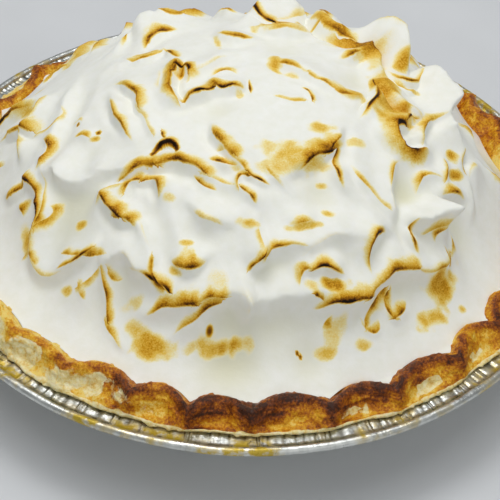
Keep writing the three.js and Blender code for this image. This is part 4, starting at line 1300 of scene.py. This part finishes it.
def folds_at(place, folds, joined):
    """All folds together: the highest crest leads, and its neighbours melt into it."""
    count = len(place)
    rise, trough = np.zeros(count), np.zeros(count)
    closest = np.full((TOAST_LAYERS, count), np.inf)
    lean = np.zeros((count, 2))
    toast = np.tile(NO_TOAST, (TOAST_LAYERS, count, 1))
    layers = toast_layers(folds)
    for index, fold in enumerate(folds):
        middle, reach = reach_of(fold)
        near = np.flatnonzero(np.hypot(*(place - middle).T) < reach)
        effect = fold_effect(place[near], fold, index, joined[index])
        rise[near] += effect[0] ** BLEND_POWER
        trough[near] += effect[1] ** BLEND_POWER
        lean[near] += effect[2]
        layer = layers[index]
        leads = (effect[4] < closest[layer, near]) & toasted(fold)
        closest[layer, near[leads]] = effect[4][leads]
        toast[layer, near[leads]] = effect[3][leads]
    for x, y, radius, depth in SPOON_DENTS:
        off = far_from(place, x, y) / radius
        trough += (depth * np.exp(-off * off)) ** BLEND_POWER
    return rise ** (1 / BLEND_POWER) - trough ** (1 / BLEND_POWER), lean, toast


def mound_height(place):
    share = np.clip(far_from(place, 0, 0) / MOUND_RADIUS, 0, 1)
    shift = place - np.array(MOUND_TOP) * (1 - share)[:, None]
    reach = np.clip(far_from(shift, 0, 0) / MOUND_RADIUS, 0, 1)
    front = smoothstep(*SKIRT_RANGE, -place[:, 1] / np.maximum(share * MOUND_RADIUS, 1))
    skirt = front * np.exp(-((share - SKIRT_PLACE) / SKIRT_SPREAD) ** 2)
    return MOUND_EDGE + MOUND_RISE * (1 - reach ** MOUND_POWER) - SKIRT_DIP * skirt


def mound_normal(place):
    step = np.array([1.0, 0]), np.array([0, 1.0])
    slope = [(mound_height(place + s) - mound_height(place - s)) / 2 for s in step]
    normal = np.stack([-slope[0], -slope[1], np.ones(len(place))], 1)
    return normal / np.linalg.norm(normal, axis=1, keepdims=True)


def patch_toast(place):
    """Toast that lies on the skin in ragged, streaky patches."""
    toast = np.zeros(len(place))
    ragged = noises(np.c_[place, np.zeros(len(place))] @ PATCH_TWIST, PATCH_NOISE)
    for x, y, half_long, half_wide, heading, strength in TOAST_PATCHES + back_patches():
        turn = math.radians(heading)
        dx, dy = place[:, 0] - x, place[:, 1] - y
        along = dx * math.cos(turn) + dy * math.sin(turn)
        across = dy * math.cos(turn) - dx * math.sin(turn)
        reach = np.hypot(along / half_long, across / half_wide) * PATCH_REACH + ragged
        toast = np.maximum(toast, PATCH_STRENGTH * strength * (1 - smoothstep(*PATCH_RANGE, reach)))
    return toast


def settle(points, faces, free):
    """Whipped white settles: hollows and valleys even out and the crests stay crisp."""
    corners = np.array(faces)
    start, end = edge_ends(faces)
    count = len(points)
    for turn in range(SETTLE_ROUNDS):
        if turn % NORMAL_ROUNDS == 0:
            a, b, c = (points[corners[:, k]] for k in range(3))
            facet = np.cross(b - a, c - a)
            normal = sum(np.stack([np.bincount(corners[:, k], facet[:, axis], count)
                                   for axis in range(3)], 1) for k in range(3))
            normal /= np.maximum(np.linalg.norm(normal, axis=1, keepdims=True), TINIEST)
        pull = neighbour_mean(points, start, end) - points
        rise = (pull * normal).sum(1, keepdims=True)
        evenly = turn < EVEN_FIRST or turn >= SETTLE_ROUNDS - EVEN_LAST
        rate = mix(EVEN_RATE if evenly else CREST_RATE, HOLLOW_RATE, smoothstep(*HOLLOW_PULL, rise))
        points = points + rate * free[:, None] * rise * normal
    return points


def relax(values, faces, free):
    """Shrinks and swells by turns, which takes out the jitter and keeps the shape."""
    start, end = edge_ends(faces)
    for turn in range(RELAX_ROUNDS):
        rate = SWELL_RATE if turn % 2 else SHRINK_RATE
        values = values + rate * free[:, None] * (neighbour_mean(values, start, end) - values)
    return values


def ring_shares():
    """Radius shares of the rings, evenly spaced along the mound's slope."""
    fine = np.linspace(0, 1, SLOPE_STEPS)
    slope = MOUND_RISE * MOUND_POWER / MOUND_RADIUS * fine ** (MOUND_POWER - 1)
    way = np.concatenate([[0], np.cumsum(np.hypot(1, slope[1:]))])
    return np.interp(np.linspace(0, way[-1], MOUND_RINGS + 1), way, fine)


def ring_layout():
    """Radius share and angle of each point of the skin, and how many points each ring has."""
    shares, angles, counts = [], [], []
    for ring, ring_share in enumerate(ring_shares()):
        count = max(1, round(POINTS_PER_RING * ring))
        even = TURN * np.arange(count) / count
        shares.append(np.full(count, ring_share))
        angles.append(even - FRONT_CROWDING * np.cos(even))
        counts.append(count)
    return np.concatenate(shares), np.concatenate(angles), counts


def outward(place):
    return place / np.maximum(far_from(place, 0, 0), 1)[:, None]


def back_streaks(points, place):
    """Uneven bulges and streaks down the backs of the tall lobes."""
    streaks = noises(points * STREAK_STRETCH, STREAK_NOISE)
    near = np.zeros(len(place))
    for x, y, full, none in TALL_BACKS:
        near = np.maximum(near, 1 - smoothstep(full, none, far_from(place, x, y)))
    return streaks * near


def raised_skin(place, folds, joined, share, pull, seal_height):
    """Skin over plan points, and how deep each point lies in a hollow, which sets its painted shade."""
    lift, lean, _ = folds_at(place, folds, joined)
    lift = noises(np.c_[place, np.zeros(len(place))], SKIN_NOISE, lift)
    for x, y, size, dx, dy, dz in PULLED_PEAKS:
        grip = np.clip(1 - far_from(place, x, y) / size, 0, 1) ** PEAK_POWER
        lean = lean + grip[:, None] * np.array([dx, dy])
        lift = lift + grip * dz
    # painted shade: the deeper a point lies in a hollow, the darker its white; it fades out towards the back
    hollow = smoothstep(*HOLLOW_SHADE_RANGE, -lift) * (1 - smoothstep(*HOLLOW_SHADE_FIELD, place[:, 1]))
    calm = 1 - share ** CALM_POWER
    points = np.c_[place, mix(mound_height(place), seal_height, pull)]
    points += mound_normal(place) * (calm * lift)[:, None]
    points[:, :2] += lean * calm[:, None]
    points[:, :2] += (calm * back_streaks(points, place))[:, None] * outward(place)
    return points, hollow


def meringue_masks(place, folds, joined, hollow, extra):
    """Toast, specks and painted hollow shade at plan points; the points below, hidden by the skin, have
    none.
    """
    _, _, toast = folds_at(place, folds, joined)
    burnt = np.zeros(len(place))
    for x, y, size in BURNT_SPECKS:
        burnt = np.maximum(burnt, np.exp(-(far_from(place, x, y) / size) ** 4))
    masks = {name + str(layer): toast[layer, :, k]
             for layer in range(TOAST_LAYERS) for k, name in enumerate(TOAST_MASKS)}
    masks |= {"patch": patch_toast(place), "burnt": burnt, "hollow": hollow}
    return {name: np.r_[values, extra] for name, values in masks.items()}


def build_meringue():
    share, angle, counts = ring_layout()
    foot_count = counts[-1]
    seal_share = mix(*SEAL_SHARE, bump_at(angle, *RISEN_SIDE))
    seal_radius = mix(PASTRY_FOOT, inner_lobe(angle), seal_share) - SEAL_ROOM
    seal_height = mix(FILLING, rope_top(angle) - SEAL_DROP, seal_share)
    pull = share ** SEAL_POWER
    radius = mix(MOUND_RADIUS * share, seal_radius, pull)
    place = np.stack([radius * np.cos(angle), radius * np.sin(angle)], 1)
    folds = SPOON_FOLDS + back_folds()
    joined = joined_ends(folds)
    base_faces = skin_over(counts + [foot_count, 1])
    place, owner = snap_to_crests(place, folds, joined, base_faces)
    place = spread_out(place, owner, base_faces)
    points, hollow = raised_skin(place, folds, joined, share, pull, seal_height)
    # closed below: a foot ring on the filling and one point in its middle
    foot = turned(FOOT_RADIUS, angle[-foot_count:], np.full(foot_count, FOOT_HEIGHT))
    points = np.concatenate([points, foot, [[0, 0, FOOT_HEIGHT]]])
    faces = follow_crests(base_faces, place, owner)
    extra = np.zeros(foot_count + 1)
    free = np.r_[1 - share ** FREE_POWER, extra]
    points = settle(points, faces, free)
    # the plan places go along with the skin, so that the toast stays on the crests
    carried = relax(np.c_[points, np.concatenate([place, foot[:, :2], [[0, 0]]])], faces, free)
    points, place = carried[:, :3], carried[:len(place), 3:]
    # the tallest tip stays under the solid's
    _, _, top = node_reach("meringue")
    over = np.clip(points[:, 2] - (top - TIP_ROOM), 0, None)
    points[:, 2] -= over - over * min(1, TIP_ROOM / max(over.max(), TIP_ROOM))
    return make_piece("meringue_spooned", points, faces, "meringue", meringue_material(),
                      meringue_masks(place, folds, joined, hollow, extra))


TOAST_MASKS = ["near", "signed", "gold", "char", "spread"]

# The golden glow and the dark line of a crest, in millimetres from it. The signed distance finds
# the crest exactly, and the plain one rules out false crossings.
GLOW_SLACK = 0.7
GLOW_WIDTH = 0.45
SPREAD_LEAST = 0.1
GENTLE_SHIFT = 0.5
GENTLE_STOPS = [(0.45, 1.0), (0.6, 0.0)]
STEEP_SQUEEZE = 2.5
LINE_SLACK = 1.1
LINE_WOBBLE = 0.4
LINE_WIDTH = 0.32
LINE_PER_CHAR = 0.35
CHAR_POWER = 1.5
WOBBLE_GRAIN = (1.8, 2)
WOBBLE = 0.5
SPECKLE = (0.6, 3, 0.7)
SPECKLE_SHARE = 1.6
CLOUD = (4.0, 3, 0.6)
CLOUD_SHARE = 0.7
UNEVEN_SHIFT = -0.15
GOLD_SHARE = 0.66
BLACK_SHARE = 0.74
WHITE_STOPS = [(0.3, rgb(242, 242, 231)), (0.7, rgb(247, 247, 240))]
# Painted shade in the hollows: a darker, warmer white
HOLLOW_SHADE_COLOUR = rgb(226, 224, 196)
TOAST_STOPS = [
    (0.0, rgb(249, 246, 232)), (0.12, rgb(244, 229, 166)), (0.26, rgb(234, 196, 84)),
    (0.42, rgb(210, 154, 28)), (0.58, rgb(162, 106, 8)), (0.76, rgb(98, 56, 3)), (1.0, rgb(26, 12, 0)),
]
TOASTED_STOPS = [(0.02, 0.0), (0.12, 1.0)]
TOAST_ROUGH = [(0.0, 0.42), (0.5, 0.6)]
BUBBLES = (0.7, 3, 0.6)
BUBBLE_BUMP = (0.05, 0.6)
SKIN = (3.5, 3, 0.5)
SKIN_BUMP = (0.25, 0.4)
MERINGUE_LOOKS = {
    "wider": ((5.0, 2), [(0.3, 0.42), (0.7, 0.78)]),
    "broken": ((2.6, 2), [(0.3, 0.55), (0.6, 1.0)]),
}
MERINGUE_SHINE = {"Subsurface_Weight": 0.12, "Subsurface_Radius": (1.0, 0.9, 0.75),
                  "Subsurface_Scale": 1.2 * MM, "Specular_IOR_Level": 0.12}


def crest_toast(look, layer, wobble, uneven):
    """Golden glow and dark line along the crests of one layer."""
    near, signed, gold, char, spread = (look.mask(name + str(layer)) for name in TOAST_MASKS)
    plain = near * TOAST_REACH
    signed = (signed - 0.5) * (2 * TOAST_REACH)
    distance = look.maths("ABSOLUTE", signed)
    gentle = look.ramp(signed + GENTLE_SHIFT, GENTLE_STOPS)
    reach = (spread * uneven + SPREAD_LEAST) * gentle + GLOW_WIDTH
    away = look.highest(look.highest(distance, plain - GLOW_SLACK) + wobble, 0.0)
    glow = ((away / reach) ** 2.0).fading()
    sided = distance * ((1.0 - gentle) * STEEP_SQUEEZE + 1.0)
    close = look.highest(sided, plain - LINE_SLACK) + wobble * LINE_WOBBLE
    thin = close / (char * LINE_PER_CHAR + LINE_WIDTH)
    return gold * glow, char ** CHAR_POWER * (thin * thin).fading()


def meringue_material():
    look = Nodes("meringue")
    layer = look.layers(MERINGUE_LOOKS)
    cloud = look.grain(*CLOUD)
    wobble = (look.grain(*WOBBLE_GRAIN) - 0.5) * WOBBLE
    golden, charred = look.mask("patch"), 0.0
    for number in range(TOAST_LAYERS):
        glow, line = crest_toast(look, number, wobble, layer["wider"] * TOAST_REACH)
        golden = look.highest(golden, glow)
        charred = look.highest(charred, line)
    uneven = look.grain(*SPECKLE) * SPECKLE_SHARE + cloud * CLOUD_SHARE + UNEVEN_SHIFT
    black = look.highest(charred * layer["broken"], look.mask("burnt"))
    level = golden * uneven * GOLD_SHARE + black * BLACK_SHARE
    # painted shade: the white is darker and warmer in the hollows
    white = look.blend(look.mask("hollow"), look.ramp(cloud, WHITE_STOPS), HOLLOW_SHADE_COLOUR)
    colour = look.blend(look.ramp(level, TOASTED_STOPS), white, look.ramp(level, TOAST_STOPS))
    bubbles = look.bump(look.grain(*BUBBLES), *BUBBLE_BUMP)
    return look.finish(Base_Color=colour, Roughness=look.ramp(level, TOAST_ROUGH),
                       Normal=look.bump(look.grain(*SKIN), *SKIN_BUMP, bubbles), **MERINGUE_SHINE)


# ---------------------------------------------------------------- stage, light and camera

# The camera looks at the tin's rim from 560 mm, 40.3 degrees up, and leans 3.3 degrees
CAMERA_DISTANCE = 560
CAMERA_ELEVATION = math.radians(40.3)
CAMERA_PAN = math.radians(0.36)
CAMERA_TILT = math.radians(1.73)
CAMERA_ROLL = math.radians(3.3)
FOCAL_PIXELS = 1486
IMAGE_WIDTH = 500
SENSOR = 36

# Soft lights, in metres and watts: name, place, size and power. They shine at one point.
LIT_POINT = (0, 0, 0.05)
SOFTBOXES = [
    ("overhead", (-0.05, 0.05, 1.0), 1.0, 3.7),
    ("key", (-0.06, 0.12, 0.85), 0.3, 1.5),
    ("fill", (0.25, -0.88, 0.6), 1.0, 1.75),
]
SKY_COLOUR = (0.95, 0.98, 1.0, 1)
SKY_STRENGTH = 0.33
FLOOR_SIZE = 8
FLOOR_ROUGH = 0.8
FLOOR_LOOKS = {"tone": ((60, 2), [(0.3, rgb(214, 216, 218)), (0.7, rgb(220, 222, 224))])}


def add_camera():
    pitch = CAMERA_ELEVATION + CAMERA_TILT
    look = Vector((0, math.cos(pitch), -math.sin(pitch)))
    look = look * math.cos(CAMERA_PAN) + Vector((1, 0, 0)) * math.sin(CAMERA_PAN)
    level_right = look.cross(Vector((0, 0, 1))).normalized()
    level_up = level_right.cross(look)
    right = level_right * math.cos(CAMERA_ROLL) + level_up * math.sin(CAMERA_ROLL)
    up = level_up * math.cos(CAMERA_ROLL) - level_right * math.sin(CAMERA_ROLL)
    place = Matrix((right, up, -look)).transposed().to_4x4()
    place.translation = Vector((0, -CAMERA_DISTANCE * math.cos(CAMERA_ELEVATION),
                                FLANGE + CAMERA_DISTANCE * math.sin(CAMERA_ELEVATION))) * MM
    data = bpy.data.cameras.new("camera")
    data.sensor_width = SENSOR
    data.lens = SENSOR * FOCAL_PIXELS / IMAGE_WIDTH
    camera = bpy.data.objects.new("camera", data)
    camera.matrix_world = place
    bpy.context.collection.objects.link(camera)
    bpy.context.scene.camera = camera


def add_softbox(name, place, size, power):
    data = bpy.data.lights.new(name, "AREA")
    data.size = size
    data.energy = power
    light = bpy.data.objects.new(name, data)
    light.location = place
    aim = Vector(LIT_POINT) - Vector(place)
    light.rotation_euler = aim.to_track_quat("-Z", "Y").to_euler()
    bpy.context.collection.objects.link(light)


def add_stage():
    bpy.ops.mesh.primitive_plane_add(size=FLOOR_SIZE)
    floor = bpy.context.object
    floor.name = "floor"
    look = Nodes("floor")
    tone = look.layers(FLOOR_LOOKS)["tone"]
    floor.data.materials.append(look.finish(Base_Color=tone, Roughness=FLOOR_ROUGH))
    world = bpy.data.worlds.new("studio")
    bpy.context.scene.world = world
    world.use_nodes = True
    sky = world.node_tree.nodes["Background"]
    sky.inputs["Color"].default_value = SKY_COLOUR
    sky.inputs["Strength"].default_value = SKY_STRENGTH
    for softbox in SOFTBOXES:
        add_softbox(*softbox)


bpy.context.scene.view_settings.view_transform = "Standard"
add_camera()
add_stage()
build_tin()
build_crust()
build_meringue()
